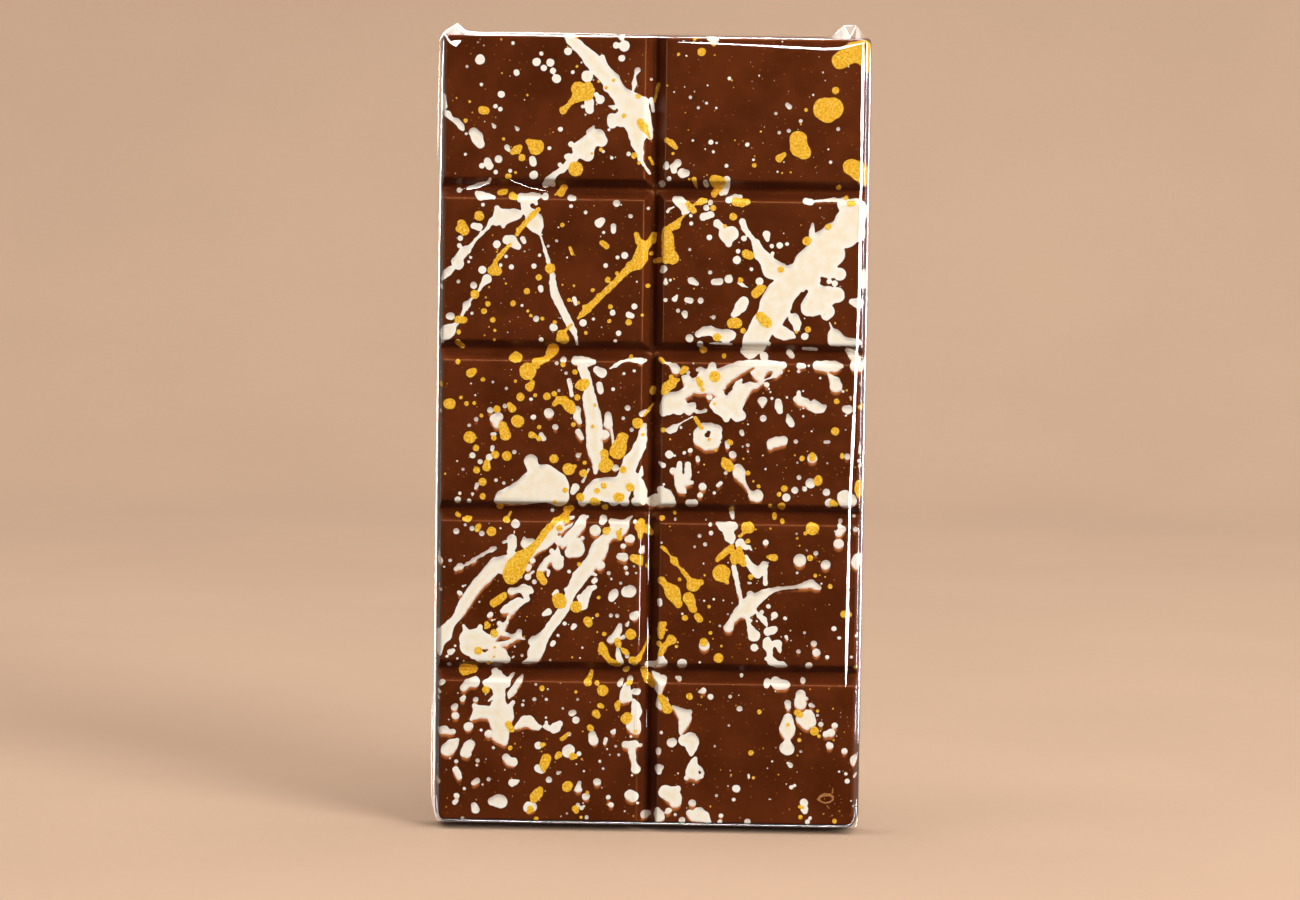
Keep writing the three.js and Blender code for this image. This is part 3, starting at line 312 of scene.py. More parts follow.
GOLD_MARKS = """
-32.8,135.8,.75>-32.1,135.75,.7; -35.9,133.8,.45; -35.2,137.35,.3; -24.3,138.75,.22; -28.7,130.4,.32;
-24,130,.5>-22.6,129,1.55; -26.2,128.4,.85; -26.9,128,.6; -25.6,128.9,.5; -25.2,126.9,.65;
-27.9,123.4,.45>-27.5,123.4,.4;
-26.4,124.1,.25; -14.6,140,1.45; -14.7,138.7,1.25>-15.9,137.6,.45>-16.6,136.8,.35>-17.4,136,.8; -13.2,139.3,1.5;
-12.8,140.6,.9; -12,140,.5; -8,141.8,.4; -9.4,140.3,.35; -10.9,141.5,.3; -14.95,144.3,.25; -3.3,138.8,.5; -6,135.1,.45;
-2.9,133.9,.7>-2.3,133.1,.75>-1.4,131.5,.2>-.8,130.3,.1; -15,124.9,1.4; -4,127.6,.6; -3.1,126.2,.35; -10.2,128.6,.4;
-12,127.9,.25; -1.1,127.2,.2>-.4,125.9,.25; -15.1,149.7,.25; -17.2,121.3,.6>-17.8,120.3,.7; .5,141,.35>-.3,137.8,.3;
7.2,149.6,.35; 8.5,147.3,.8; 4.2,146.8,.32; 2.15,140.9,.22; 2.2,130.6,.5>3,130.1,.55>3.9,129.2,.4; 3.4,128.1,.3;
10.8,148.7,.4; 7.4,123.3,.45>7.7,122.4,.25>8,121.6,.12; 6.5,123.3,.25; 11.6,122.9,1.2; 12.4,122.8,1.1; 11,123.4,.6;
12.2,121.8,.8>11.2,120.3,.5; 18.8,126.05,.45; 31.8,136.9,2.1; 33.4,137,2.05; 32.4,136.2,1.9; 33.9,140.4,.65;
28.4,136.6,.38; 27,131,1.65>27.2,129.4,1.6>28.1,128.6,1.35; 23.5,127.4,.75>24.4,128.2,.4;
37,126,1.5>38.5,125.3,1.7>39.8,124,1.6; 34.7,146,1.6>35.6,146.6,1.6>37.2,147.6,1.9>38.8,147.6,2.2>39.8,146.2,1.7;
40.2,144.6,.9; 34.8,122.05,.5; -33.2,115.8,.9; -36.5,114.2,.9>-36,113,.95; -37,113.3,.7; -29.3,120.2,.5>-28.4,120.4,.5;
-27,119.6,.65>-26.3,119.4,.5; -22,117.2,.4>-23.2,115.9,.5>-24.6,114.4,.5>-25.6,113.2,.45>-26,112.3,.3;
-27.3,110.5,.3>-28.3,109.3,.4>-29.3,108.2,.45>-30,107.2,.4>-30.2,106.2,.6>-30.4,105.6,1.1; -29.6,105.4,.9;
-33.9,100.9,.85; -36.9,96.1,.8>-35.8,96,.6; -36.9,93.7,.5; -37.1,91.8,.5>-36.4,91,.45; -31.4,99.1,.5; -32.1,97.7,.6;
-30.4,96.1,.5; -30,94.1,.35; -30.1,92.3,.35; -19.6,106,1; -21.8,104.3,.6; -24,101.6,.6; -26.6,99.3,.55; -23.8,97.9,.3;
-23.2,97,.3; -21,96.5,.35; -18.6,95.8,.4; -17.3,93.4,1>-16.8,92.7,1; -17.9,92.6,.5; -16.6,94.3,.3>-15.4,95.5,.25;
-19,90.5,1.1; -17.4,114.3,.45; -15.9,110,.3>-15.5,108.9,.35; -9.8,111,.55>-9,110.4,.6;
-3.3,112.6,.5>-3,111.5,.6>-2.2,110.8,.8>-2.3,109.5,1.1>-2.6,108.2,1.3>-3.2,107.1,1.1>-4.4,106.6,.85>-5.4,105.5,.6
>-6.5,104.4,.55>-7.6,103.2,.55>-8.7,102.1,.5>-9.7,101.1,.5>-10.6,100.3,.55>-11.6,99.3,.6>-12.5,98.5,.8>-13.3,97.6,.5
>-14.2,96.6,.2; -8.7,104,.55; -7,105.3,.35; -10.5,101,.4; -13.2,98.9,.35; -1.3,110.5,.6>-.2,112.6,.4; -.5,109,.4;
-1.15,102.9,.45; -2.1,97.4,.3; -11.5,102,.35; -15.1,102.8,.3; -16,100.1,.4; -14.2,99.6,.35; -8.1,98.9,.5; -8.3,96.2,.38;
-4.6,96,.6; -12.7,93.9,.42; -17.6,121.2,.5>-18.2,120.3,.2>-18.9,119.9,.12; 6.3,118.7,.45>6.8,118,.55>7.4,117.4,.6;
7.6,118.5,.2>8.9,119.1,.6>9.6,119.2,.5; 11.1,117.9,.55; 11.2,120.5,.5; 15.3,119.1,.75>16.5,118.9,.7>17.7,119.1,.5;
14.9,116.3,.72; 13.4,114.5,.4; 2.4,113.5,.8>2.6,112,1.1>2.7,110.5,1.1>2.8,109,1.2>3.6,108.3,1.15; 2.4,108,.8;
3.2,114.1,.7>4.2,114.6,.8>4.7,115.4,.4>5.4,116.2,.15>6,116.7,.1; -.2,111.5,.7>.2,112.7,.3; .3,107.6,.5>1.3,107.9,.5;
17.5,109.3,.85>18.2,109,.8; 16.5,104.3,.55; 19.5,101.8,.85>20.2,102.6,.8>20.9,103,.5; 15.1,96.1,1>15.9,96.1,1;
17.15,94.7,.5; 12.2,93.4,.8; 9.6,90.8,.75; 20.3,97.5,.9>21.6,96.3,1; 36.8,119,.5>37.6,119.1,.45; 36.3,120,.4;
32.9,114.6,.6; 29,111.9,.9; 24.1,106.4,.62; 29.4,95.1,.58; 27.2,94.6,.3;
-36.2,90.9,.5; -37,88,.45; -34.6,85.9,.8; -34,86.3,.6; -32.2,84.7,.42; -39.9,83.7,.5; -38.3,80,1; -36.4,81.2,.35;
-35.3,80.1,.42; -33.8,80.2,.38; -32.4,77.8,.42; -26.8,88.8,.5>-26.1,88.9,.85>-25.6,88.9,.8; -23.7,86.4,1.6;
-26,84.5,.32;
-23.3,83.4,.85>-22.8,84.2,.5; -25,81.5,.8; -22.2,81.9,.38; -20,81.7,.75; -18.6,82.2,.5; -26.6,79.3,.8>-27.1,80,.5;
-29.5,79.1,.7; -25.5,76.9,1.2; -28.3,75.9,.85>-27.8,74.2,1.05; -34.6,73.7,1.15; -33.4,71.6,.6; -30,73.6,.5;
-29.7,70.4,.75; -27.5,70.2,.9; -31.3,68.8,.6>-31.3,68,.85; -33.2,67.4,.65; -32.1,65.2,.8; -32,62.4,.6;
-22.9,74.3,.6>-22.4,74.2,.5; -21.4,73.6,.55; -21.4,75.8,.35; -28.8,60.4,.7;
-22.3,88.2,.6>-21,88.4,.6>-20,88.9,.5>-19.3,90,.9>-19,90.7,1; -21.8,87.4,.5; -17,87.8,.5; -14.7,86.4,.5;
-14.2,83.7,.5>-13.3,84,1.1>-12.8,84.3,.9; -14.2,81.6,.6; -18.6,80.2,.4>-17.7,81,.6>-16.7,80.9,.8>-15.7,79.9,1.1
>-15.2,79.2,.8;
-10.8,80.1,.38; -11.2,76.1,.35; -14.9,76.3,.45; -4.9,74.2,.5>-5.5,74,.95>-6.4,71.5,1.55; -5.9,71.9,1.1;
-9,71,.8>-8.8,69.8,.6>-8.8,68.6,1.35; -8.2,68.9,1; -5.4,67.9,.75; -2.7,76.8,1.05; -1.7,74.6,.35; -15.7,67.8,1.15;
-14.5,68.4,.35; -12.9,67.1,.75; -12.7,69.1,.4; -18.5,69.8,.85; -9,64.8,.65; -10.2,63.8,.55; -13.4,62.5,.8;
-10.8,61.7,.8>-10.2,61.6,.6; -6.3,62.6,.9>-5.8,62.6,.8; -3.9,64.5,.85; -16.3,63.8,.55; -18.2,61.6,.4; .1,82.6,.6;
-1.6,78.2,.2>-.6,79.2,.3>.2,80.3,.2; -4.1,89.3,.4; -16.2,60,.6; -8.7,60.5,.6;
1.3,89.2,.15>1.7,88.8,.35>2.1,88.4,.3; 5.6,86.7,.5>6.1,87.2,.6>6.7,87.4,.3; 3.6,85.8,.45;
2.3,82.8,.6>2.9,83.8,.9>3.7,84.4,.9>4.4,85,.5>5,85.2,.3; 11.9,85.9,1.1; 8.6,85.5,.4>9,84.7,.55>9.2,84.3,.5; 9.6,83.4,.4;
11.9,80.7,.3; 8.3,77.9,.4>8.8,77.1,.35>9.5,76.1,.4; 2.2,75.6,.45; 11,73.9,.3; 12.3,71.9,.35; 14.7,73.6,.4>15.1,73.3,.45;
13.9,70.1,.5>14.3,69.3,1>14.8,68.7,.95; 18.5,67.6,.45; 19.5,66,.25; 20.5,65.1,.35; 15.4,60.5,.5; 4.6,59.5,.35;
13.6,89.7,.4; .2,83.2,.6; 25.4,64.7,.65; 24.5,63.6,.45; 25,61.3,.75; 22.7,61.4,.4; 35.1,81.5,.5; 34.9,75.8,.75;
36.3,70.9,.35>36.3,71.4,.3; 28.7,70.5,.5; 30.6,71.1,.55>30.6,70.6,.6; 31.8,66.7,.7>31.8,66.1,.75;
34.6,62.1,.6>35.3,61.8,.4; 39.7,80.5,.5; 39.6,65.8,.7>39.5,64.8,.8>39.7,63.6,.6; 23.6,59.4,.45;
-37,58.7,.3>-36.5,58.5,.3; -35.5,57.9,.4>-34.8,57.9,.45>-34.2,58.2,.2; -32.7,56.7,.5>-33,56,.5; -30.3,55.7,.9;
-27.6,57.9,.5>-27.1,57.8,.4; -27.1,58.4,.2>-26.7,59.2,.25;
-15.2,60.2,.6>-16,59.3,.5>-16.8,58.5,.4>-18.2,57.8,.5>-19.2,56.7,.6>-20.2,55.5,.6>-21,54.3,.6>-21.8,53.3,.7>-23,52,.9
>-24.5,50.5,1.5>-25.5,49,1.9>-26.3,47.5,1.7>-26.5,46.7,1.2; -25,51.2,.5>-24,51.2,.6;
-29.7,41.9,.8>-28.8,42.5,.7>-27.9,43.3,.6>-27.6,43.7,.4; -31,37.9,.5>-30.8,37.6,.5>-31.3,37.1,.3; -29.6,36.1,.8;
-32.6,32.7,.8; -29.4,33.4,.25; -29.6,31.6,.3; -30.5,30.4,.5; -21.1,47.7,.6>-20.7,47,.65>-20.2,46.2,.7; -16.1,58.1,.7;
-17.3,56.5,.6; -8.4,56.1,.75>-8,56.4,.5; -6,55.7,.6>-5.8,54.8,.5; -5.6,56.5,.3; -13.5,49.6,.45;
-17.3,42.8,1.3>-17.1,42.3,1.3;
-14,41.4,1.1; -11.7,38.7,.85>-11.5,38.2,.7; -9.9,39.9,.4; -9.9,36.6,.2; -8.6,36.3,.4; -3.5,36.3,1;
-6,35,.6>-5.8,34.3,.6; -9,34.2,.6>-8.8,33.3,.9>-8.2,32.3,.6>-7.5,31.3,.4>-7,30.9,.6>-6.2,30.6,.6>-5.6,30.4,.4;
-5,33.4,.4>-4.5,33,.45>-4,32.6,.3; -3.2,31.3,.7>-2.7,30.9,.5>-2,31.7,.5>-1.3,32.8,.25>-.5,34.3,.2>0,35.5,.2;
-1.8,57.8,.6>-2.2,57,.7>-1.9,55.8,.4>-1.9,55,.4; -.8,56.5,.8>0,55.7,.7; -3.2,51,.7>-2.2,50.7,.8>-1.8,49.8,.4;
-.6,49.3,.45; -9.7,43.3,.35; 2.1,58.5,.4>2.4,58.6,.3;
2.3,53.2,.3>2.9,52.6,.3>3.8,51.6,.12>4.6,50.6,.65>4.9,50.2,.5>5.5,49.5,.12>6.3,48.6,.35>6.9,47.9,.4>7.5,47.1,.4
>8.3,46,1.2>8.5,45.9,1.1>9.4,46.4,.6>9.8,46.5,.6; 5.7,47,.4; 10.5,47.9,.25; 2.3,46.8,.75>3,46,.5>3.7,45.3,.9
>4.4,44.5,1.45>4.8,43.8,1.2>5.5,42.3,.8; 7.5,43.4,1.2>7.8,42.8,.95>8.2,41.6,.75>8.5,41.3,.6; 6.8,39.6,.55;
9.2,40,.6>9.6,39.4,.65; 13.7,48.3,1.7; 14.5,47.1,.5>14.8,46.5,.35;
15.5,53.3,.6>14.5,52.5,.6>13.6,51.7,.55>12.9,50.9,.45;
16,52.3,.6>16,51.2,.75>16,50.5,.6; 17,53,.6>17.2,52,.6>17.4,51,.75>17.9,50.2,.6; 18.8,57.1,1.1>18.2,57.1,.9;
18.2,56.5,.4>17.7,56,.2>17.1,55.5,.3; 18.7,54.6,.45>18.3,54.4,.3; 19.3,47.7,.5; 11.4,41.9,.35; 11.7,36.8,.35;
12.2,35.7,.2;
10.5,35,.85; 13.9,34.3,.3; 13.3,32,.9; 2.9,38.4,.5>2.4,38.3,.5>2.4,37.3,.75>2.3,36,.5;
4.8,35.2,.4>4.3,35.4,.9>3.3,34.5,.5>2.7,33.5,.6>2.2,32.5,.4; 2,34.6,.5; 5.3,34.1,.3;
22.4,51.6,.3>23.2,51.5,.6>23.7,51.4,.7;
30.5,51.5,.6; 30.9,56.9,1>30.7,57.2,.95>31.3,57.2,.85; 29.5,56.2,.3; 28,55.2,.25; 31.6,48.1,.4; 32.4,48.2,.2;
34.4,46.1,.45;
37.2,40.8,.7>38.2,40.8,.5; 39.5,30.6,.4; 22.9,57,.2; 23.7,58.9,.4>23.7,59.4,.35; 25.1,58.3,.45;
-31,25.2,.75; -26.7,18.6,.6>-26.1,17.6,.6; -26.3,14,.45; -20.3,25.6,.55; -19.4,12,1>-19.7,11,.9>-19.8,10,.5;
-20.1,14.7,.5>-19.8,14.8,.35; -20.5,6,.6>-20.9,5.3,.9>-21.5,4.6,.9>-21.8,3.8,.4; -22.3,2.2,.75>-22.6,1.8,.45;
-21.2,.4,.5;
-11.6,27,.75>-11.2,27.8,.4>-10.9,28.7,.4; -9.8,26.8,.4; -8.7,25.4,1.05; -13.8,25,.3; -9.2,22.5,.5>-8.7,22.3,.35;
-10,20.9,.75>-9.6,20.5,.6; -5.7,23.2,.35>-5.9,22.6,.5>-5.8,21.9,.4; -11.1,18.2,.6>-10.8,18,.5;
-4.2,20,1.05>-3.9,20.4,.9;
-2.4,17.6,.4; -3.8,26.8,.5>-3.4,27,.4; -16.5,15.9,.4>-15.8,16.4,.35>-15.2,17,.3; -16.9,12.9,.6>-17.4,12.4,.4;
-14.3,12.6,.7>-13.8,12.6,.5; -15.3,6.7,1>-15.2,6.9,.95; -13.6,2.4,.7>-13.5,2,.5; -12.6,.8,.25; -11.4,5.6,.35;
-4.4,29.2,.6>-4,29.6,.4; -1,29.3,.6>-.6,28.3,.6>0,27.5,.9>.6,26.8,.8>.8,26.3,.5; -35.3,28.8,1.1>-33.5,28.9,.8;
2.4,24.3,.6>2.9,23.7,.7>3.3,22.8,.7>3.7,22,.95; 7.9,24.5,.65; 21.3,21.7,.45; 19.8,13.8,.55; 26.8,19.3,.4;
28.5,21.7,.6>29.1,21.3,.6; 31.9,18.2,.85; 32.8,17.2,.35; 29,16.4,.38; 20.3,9,.3; 29.3,3.5,.4>29.9,3.4,.35; 29.4,1.5,.4;
35.4,22.6,.25; 36,.8,.5; 32.4,22.1,.35; 35.6,16.5,.25
"""
BRONZE_MARKS = """
32.7,5,.15>33.3,5.6,.25>34,5.9,.32>35,5.9,.25>35.6,5.5,.2>35.6,4.9,.14>35,4.5,.14>34.2,4.3,.16>33.3,4.6,.14>32.7,5,.15;
35.5,6.3,.15>35.6,7.2,.1; 36.8,5.8,.12; 36,4.2,.12; 36.9,2.8,.2; 35.5,1.9,.18; 37.4,1.9,.12; 34.5,3.8,.1>34.9,3.3,.1;
36.1,1.2,.14; 33.9,2.1,.12; 37.2,4.4,.1; 35,7.6,.1
"""

IVORY, GLOW, GOLD, BRONZE = "ivory_splash", "ivory_glow", "gold_splash", "bronze_fleck"


class TabletSizes(bpy.types.PropertyGroup):
    """Sizes of the moulded tablet."""

    rows: IntProperty(name="Rows", description="Squares up the tablet", default=5, min=1)
    columns: IntProperty(name="Columns", description="Squares across the tablet", default=2, min=1)
    square_width: FloatProperty(
        name="Square width", description="Across the face of a square", default=0.0377, unit="LENGTH"
    )
    square_height: FloatProperty(
        name="Square height", description="Up the face of a square", default=0.027, unit="LENGTH"
    )
    groove_width: FloatProperty(
        name="Groove width", description="Between two faces", default=0.00375, unit="LENGTH"
    )
    groove_floor: FloatProperty(
        name="Groove floor", description="Flat at the bottom of a groove", default=0.00065, unit="LENGTH"
    )
    groove_depth: FloatProperty(
        name="Groove depth", description="Below the faces", default=0.0028, unit="LENGTH"
    )
    edge_round: FloatProperty(
        name="Edge rounding", description="Radius along the edges of the faces", default=0.0004, unit="LENGTH"
    )
    lower_corner: FloatProperty(
        name="Lower corners", description="Radius of the two lower corners", default=0.0011, unit="LENGTH"
    )
    upper_corner: FloatProperty(
        name="Upper corners", description="Radius of the two upper corners", default=0.001, unit="LENGTH"
    )


class SplashSizes(bpy.types.PropertyGroup):
    """How the splashes lie on the tablet."""

    cell: FloatProperty(
        name="Outline step", description="Step of the outlines", default=0.00022, unit="LENGTH"
    )
    ivory_height: FloatProperty(
        name="Ivory height", description="How proud the ivory stands", default=0.00005, unit="LENGTH"
    )
    gold_height: FloatProperty(
        name="Gold height", description="How proud the gold stands", default=0.00009, unit="LENGTH"
    )
    mist: FloatProperty(
        name="Mist", description="Fine ivory droplets on a square metre of faces", default=38000.0, min=0.0
    )
    gold_share: FloatProperty(
        name="Gold share", description="Fine gold droplets for each ivory one", default=0.9, min=0.0
    )
    smallest_drop: FloatProperty(
        name="Smallest droplet", description="Radius of the finest droplets", default=0.00007, unit="LENGTH"
    )
    largest_drop: FloatProperty(
        name="Largest droplet", description="Radius of the largest fine droplets", default=0.00026, unit="LENGTH"
    )
    seed: IntProperty(name="Seed", description="Seed of all that is random", default=11)


class FilmSizes(bpy.types.PropertyGroup):
    """Sizes of the film wrap."""

    gap: FloatProperty(
        name="Gap", description="From the faces to the film", default=0.00022, unit="LENGTH"
    )
    fold_round: FloatProperty(
        name="Fold rounding", description="Radius of the film round the edges", default=0.0005, unit="LENGTH"
    )
    seam_width: FloatProperty(
        name="Seam width", description="Lap seam down the back", default=0.009, unit="LENGTH"
    )


class TabletColours(bpy.types.PropertyGroup):
    """Colours of the finishes and the stage."""

    chocolate: FloatVectorProperty(
        name="Chocolate", description="Milk chocolate", subtype="COLOR", size=3, default=(0.104, 0.0198, 0.0042)
    )
    ivory: FloatVectorProperty(
        name="Ivory", description="Ivory splashes", subtype="COLOR", size=3, default=(0.95, 0.865, 0.73)
    )
    # grey of ivory that thins out, also used as painted shade on the upper rims
    thin_and_shaded_ivory: FloatVectorProperty(
        name="Thin ivory", description="Ivory that thins out", subtype="COLOR", size=3, default=(0.45, 0.34, 0.28)
    )
    warm_ivory: FloatVectorProperty(
        name="Warm ivory", description="Ivory that runs out", subtype="COLOR", size=3, default=(0.55, 0.17, 0.04)
    )
    gold: FloatVectorProperty(
        name="Gold", description="Gold splashes on ivory", subtype="COLOR", size=3, default=(0.93, 0.53, 0.022)
    )
    dark_gold: FloatVectorProperty(
        name="Dark gold", description="Gold splashes on chocolate", subtype="COLOR", size=3, default=(0.88, 0.46, 0.014)
    )
    bronze: FloatVectorProperty(
        name="Bronze", description="Bronze flecks", subtype="COLOR", size=3, default=(0.42, 0.17, 0.04)
    )
    backdrop: FloatVectorProperty(
        name="Backdrop", description="Seamless backdrop", subtype="COLOR", size=3, default=(0.375, 0.26, 0.185)
    )


# Shaders

WHITE = (1.0, 1.0, 1.0)
WHITE_RIM = (0.97, 0.93, 0.86)  # of the ivory
# white of crinkled film, standing partly for painted reflection on the ear pleats
MILK_AND_GLINT_WHITE = (0.95, 0.91, 0.86)
CHOCOLATE_SHEEN = (1.0, 0.42, 0.16)  # the tint of what the chocolate mirrors
CRUMB_SPACING = 0.0013  # metres between the faint orange specks in the chocolate
CRUMB_COLOUR = (0.42, 0.14, 0.03)


class Node:
    """A node tree's value under an operator's hand: sums and products of values become Math nodes."""

    def __init__(self, tree, socket):
        self.tree, self.socket = tree, socket

    def _math(self, operation, *values):
        return add_node(self.tree, "ShaderNodeMath", {"operation": operation}, dict(enumerate(values)))

    def __add__(self, other):
        return self._math("ADD", self, other)

    __radd__ = __add__

    def __mul__(self, other):
        return self._math("MULTIPLY", self, other)

    __rmul__ = __mul__

    def __sub__(self, other):
        return self._math("SUBTRACT", self, other)

    def __rsub__(self, other):
        return self._math("SUBTRACT", other, self)

    def power(self, exponent):
        return self._math("POWER", self, exponent)

    def ramp(self, low, high):
        """0 below low, 1 above high, and smooth in between."""
        settings = {"interpolation_type": "SMOOTHSTEP"}
        return add_node(self.tree, "ShaderNodeMapRange", settings, {"Value": self, "From Min": low, "From Max": high})


def add_node(tree, kind, settings=None, inputs=None, output=0):
    """Adds a node with its settings and inputs, and gives one output back as a Node."""
    node = tree.nodes.new(kind)
    for name, value in (settings or {}).items():
        setattr(node, name, value)
    for name, value in (inputs or {}).items():
        if isinstance(value, Node):
            tree.links.new(value.socket, node.inputs[name])
        elif value is not None:
            node.inputs[name].default_value = value
    return Node(tree, node.outputs[output])


def rgba(colour):
    """A colour as a socket takes it."""
    return (*colour, 1.0)


def tinted(colour, *factors):
    """A colour with each channel multiplied by its factor, or all by the same one."""
    return tuple(np.minimum(np.array(colour) * factors, 1.0))


def mix_colours(tree, factor, first, second):
    """The first colour where the factor is 0, and the second where it is 1."""
    node = tree.nodes.new("ShaderNodeMix")
    node.data_type = "RGBA"
    for socket, value in zip((node.inputs[0], node.inputs[6], node.inputs[7]), (factor, first, second)):
        if isinstance(value, Node):
            tree.links.new(value.socket, socket)
        else:
            socket.default_value = value if np.isscalar(value) else rgba(value)
    return Node(tree, node.outputs[2])


def split_vector(tree, vector):
    """The three parts of a vector."""
    first = add_node(tree, "ShaderNodeSeparateXYZ", None, {"Vector": vector})
    return [Node(tree, part) for part in first.socket.node.outputs]


def noise(tree, place, size, detail=2.0, roughness=0.5):
    """Noise with features of about this size in metres."""
    inputs = {"Vector": place, "Scale": 1.0 / size, "Detail": detail, "Roughness": roughness}
    return add_node(tree, "ShaderNodeTexNoise", None, inputs)


def attribute(tree, name):
    """The number of this name that write_attribute gave the mesh's points."""
    return add_node(tree, "ShaderNodeAttribute", {"attribute_name": name}, output=2)


def bump(tree, height, distance, strength):
    """Normals that lean as a height of 0 to 1 over this distance in metres would."""
    return add_node(tree, "ShaderNodeBump", None, {"Height": height, "Distance": distance, "Strength": strength})


def new_material(name):
    """An empty material, its tree and its Object coordinates."""
    material = bpy.data.materials.new(name)
    material.use_nodes = True
    tree = material.node_tree
    tree.nodes.clear()
    place = add_node(tree, "ShaderNodeTexCoord", output=3)
    return material, tree, place


def show(tree, shader, kind="ShaderNodeOutputMaterial"):
    """Sends a shader to the tree's output."""
    output = tree.nodes.new(kind)
    tree.links.new(shader.socket, output.inputs["Surface"])


def show_principled(tree, colour, roughness, specular, normal=None, tint=None):
    """Sends a plain opaque finish to the tree's output."""
    inputs = {
        "Base Color": colour,
        "Roughness": roughness,
        "Specular IOR Level": specular,
        "Specular Tint": tint,
        "Normal": normal,
    }
    show(tree, add_node(tree, "ShaderNodeBsdfPrincipled", None, inputs))


def show_film(tree, share, shader):
    """Sends a shader to the tree's output in this share, and lets the light through for the rest."""
    clear = add_node(tree, "ShaderNodeBsdfTransparent", None, {"Color": rgba(WHITE)})
    show(tree, add_node(tree, "ShaderNodeMixShader", None, {0: share, 1: clear, 2: shader}))


def chocolate_material(colours):
    """Satin moulded chocolate, a little uneven in colour, with faint mould marks."""
    material, tree, place = new_material("milk_chocolate")
    chocolate = colours.chocolate
    cloud = noise(tree, place, size=0.009, detail=3.0)
    mottle = noise(tree, place, size=0.0022, detail=3.0)
    speck = noise(tree, place, size=0.0006)
    crumb = add_node(tree, "ShaderNodeTexVoronoi", None, {"Vector": place, "Scale": 1 / CRUMB_SPACING})
    colour = mix_colours(tree, cloud.ramp(0.3, 0.7), tinted(chocolate, 0.76), tinted(chocolate, 1.12, 1.16, 1.2))
    colour = mix_colours(tree, speck.ramp(0.66, 0.78) * 0.5, colour, tinted(chocolate, 2.4, 2.8, 2.4))
    colour = mix_colours(tree, mottle.ramp(0.38, 0.62) * 0.16, colour, tinted(chocolate, 0.4))
    colour = mix_colours(tree, (1 - crumb.ramp(0.05, 0.13)) * 0.6, colour, CRUMB_COLOUR)
    marks = bump(tree, mottle * 0.7 + speck * 0.3, distance=0.00003, strength=0.6)
    show_principled(tree, colour, cloud * 0.14 + 0.26, specular=0.18, normal=marks, tint=rgba(CHOCOLATE_SHEEN))
    return material


def ivory_material(colours, name="ivory_cocoa_butter", shaded=True):
    """Cocoa-butter ivory. Where shaded, it turns grey at some upper rims, partly thinned ivory and partly painted
    shade, and warms at some lower ones.
    """
    material, tree, place = new_material(name)
    cloud = noise(tree, place, size=0.0015)
    colour = mix_colours(tree, cloud.ramp(0.35, 0.65), colours.ivory, tinted(colours.ivory, 0.985, 0.94, 0.85))
    if shaded:
        colour = mix_colours(tree, attribute(tree, "rim"), colour, WHITE_RIM)
        colour = mix_colours(tree, attribute(tree, "warm"), colour, colours.warm_ivory)
        # cover greys the upper rims: partly thinned ivory, partly painted shade
        colour = mix_colours(tree, attribute(tree, "cover"), colours.thin_and_shaded_ivory, colour)
    else:
        colour = mix_colours(tree, cloud.ramp(0.2, 0.8), WHITE_RIM, colour)
    marks = bump(tree, noise(tree, place, size=0.0012), distance=0.00004, strength=0.4)
    show_principled(tree, colour, cloud * 0.1 + 0.4, specular=0.12, normal=marks)
    return material


def glow_material(colours):
    """Fat that has run out below the ivory, warm next to it and chocolate at its far rim."""
    material, tree, place = new_material("warm_run_out")
    cover = attribute(tree, "cover")
    colour = mix_colours(tree, cover.ramp(0.0, 0.9), colours.chocolate, colours.warm_ivory)
    show_principled(tree, colour, noise(tree, place, size=0.009) * 0.14 + 0.3, specular=0.06)
    return material


def gold_material(colours, name="gold_cocoa_butter", light=None, dark=None):
    """Gold shimmer in cocoa butter: pale yellow grains, partly their own colour and partly painted glints, in a deeper
    gold.
    """
    light, dark = light or colours.gold, dark or colours.dark_gold
    material, tree, place = new_material(name)
    swirl = noise(tree, place, size=0.0011, detail=3.0, roughness=0.6)
    grain = noise(tree, place, size=0.00042, roughness=0.7)
    glint_grains, deep = tinted(light, 1.1, 1.35, 6.0), tinted(dark, 0.72, 0.62, 0.4)
    colour = mix_colours(tree, attribute(tree, "over_ivory"), dark, light)
    # pale yellow grains: painted glints in the base colour for the flakes' sparkle, over their own colour
    colour = mix_colours(tree, (grain * 0.7 + swirl * 0.3).ramp(0.5, 0.62) * 0.8, colour, glint_grains)
    colour = mix_colours(tree, (1 - grain).ramp(0.5, 0.64) * 0.7, colour, deep)
    marks = bump(tree, grain, distance=0.00003, strength=0.6)
    show_principled(tree, colour, grain * 0.2 + 0.32, specular=0.15, normal=marks)
    return material


def film_material(name, dull_left=0.0):
    """Clear crackly film: all but unseen where it lies flat on the faces, a mirror in its folds and at a slant."""
    material, tree, place = new_material(name)
    ripple = noise(tree, place, size=0.006) * 0.8 + noise(tree, place, size=0.0012, detail=1.0) * 0.2
    normal = bump(tree, ripple, distance=0.0002, strength=0.06)
    gloss = {"Color": rgba(WHITE), "Roughness": 0.03, "Normal": normal}
    across, facing, _ = split_vector(tree, add_node(tree, "ShaderNodeTexCoord", output=1))
    turn = 1 - facing * facing  # 0 on the faces, 1 on the walls
    fold = (turn.ramp(0.001, 0.03) * 0.4 + 0.6) * (1 - turn.ramp(0.3, 0.75) * 0.93)
    fold = fold * (1 - (across * -1).ramp(0.1, 0.3) * dull_left)
    slant = add_node(tree, "ShaderNodeLayerWeight", None, {"Blend": 0.5, "Normal": normal}, output=1)
    mirror = (slant.power(5.0) * 0.96 + 0.04) * fold
    show_film(tree, mirror, add_node(tree, "ShaderNodeBsdfGlossy", None, gloss))
    return material


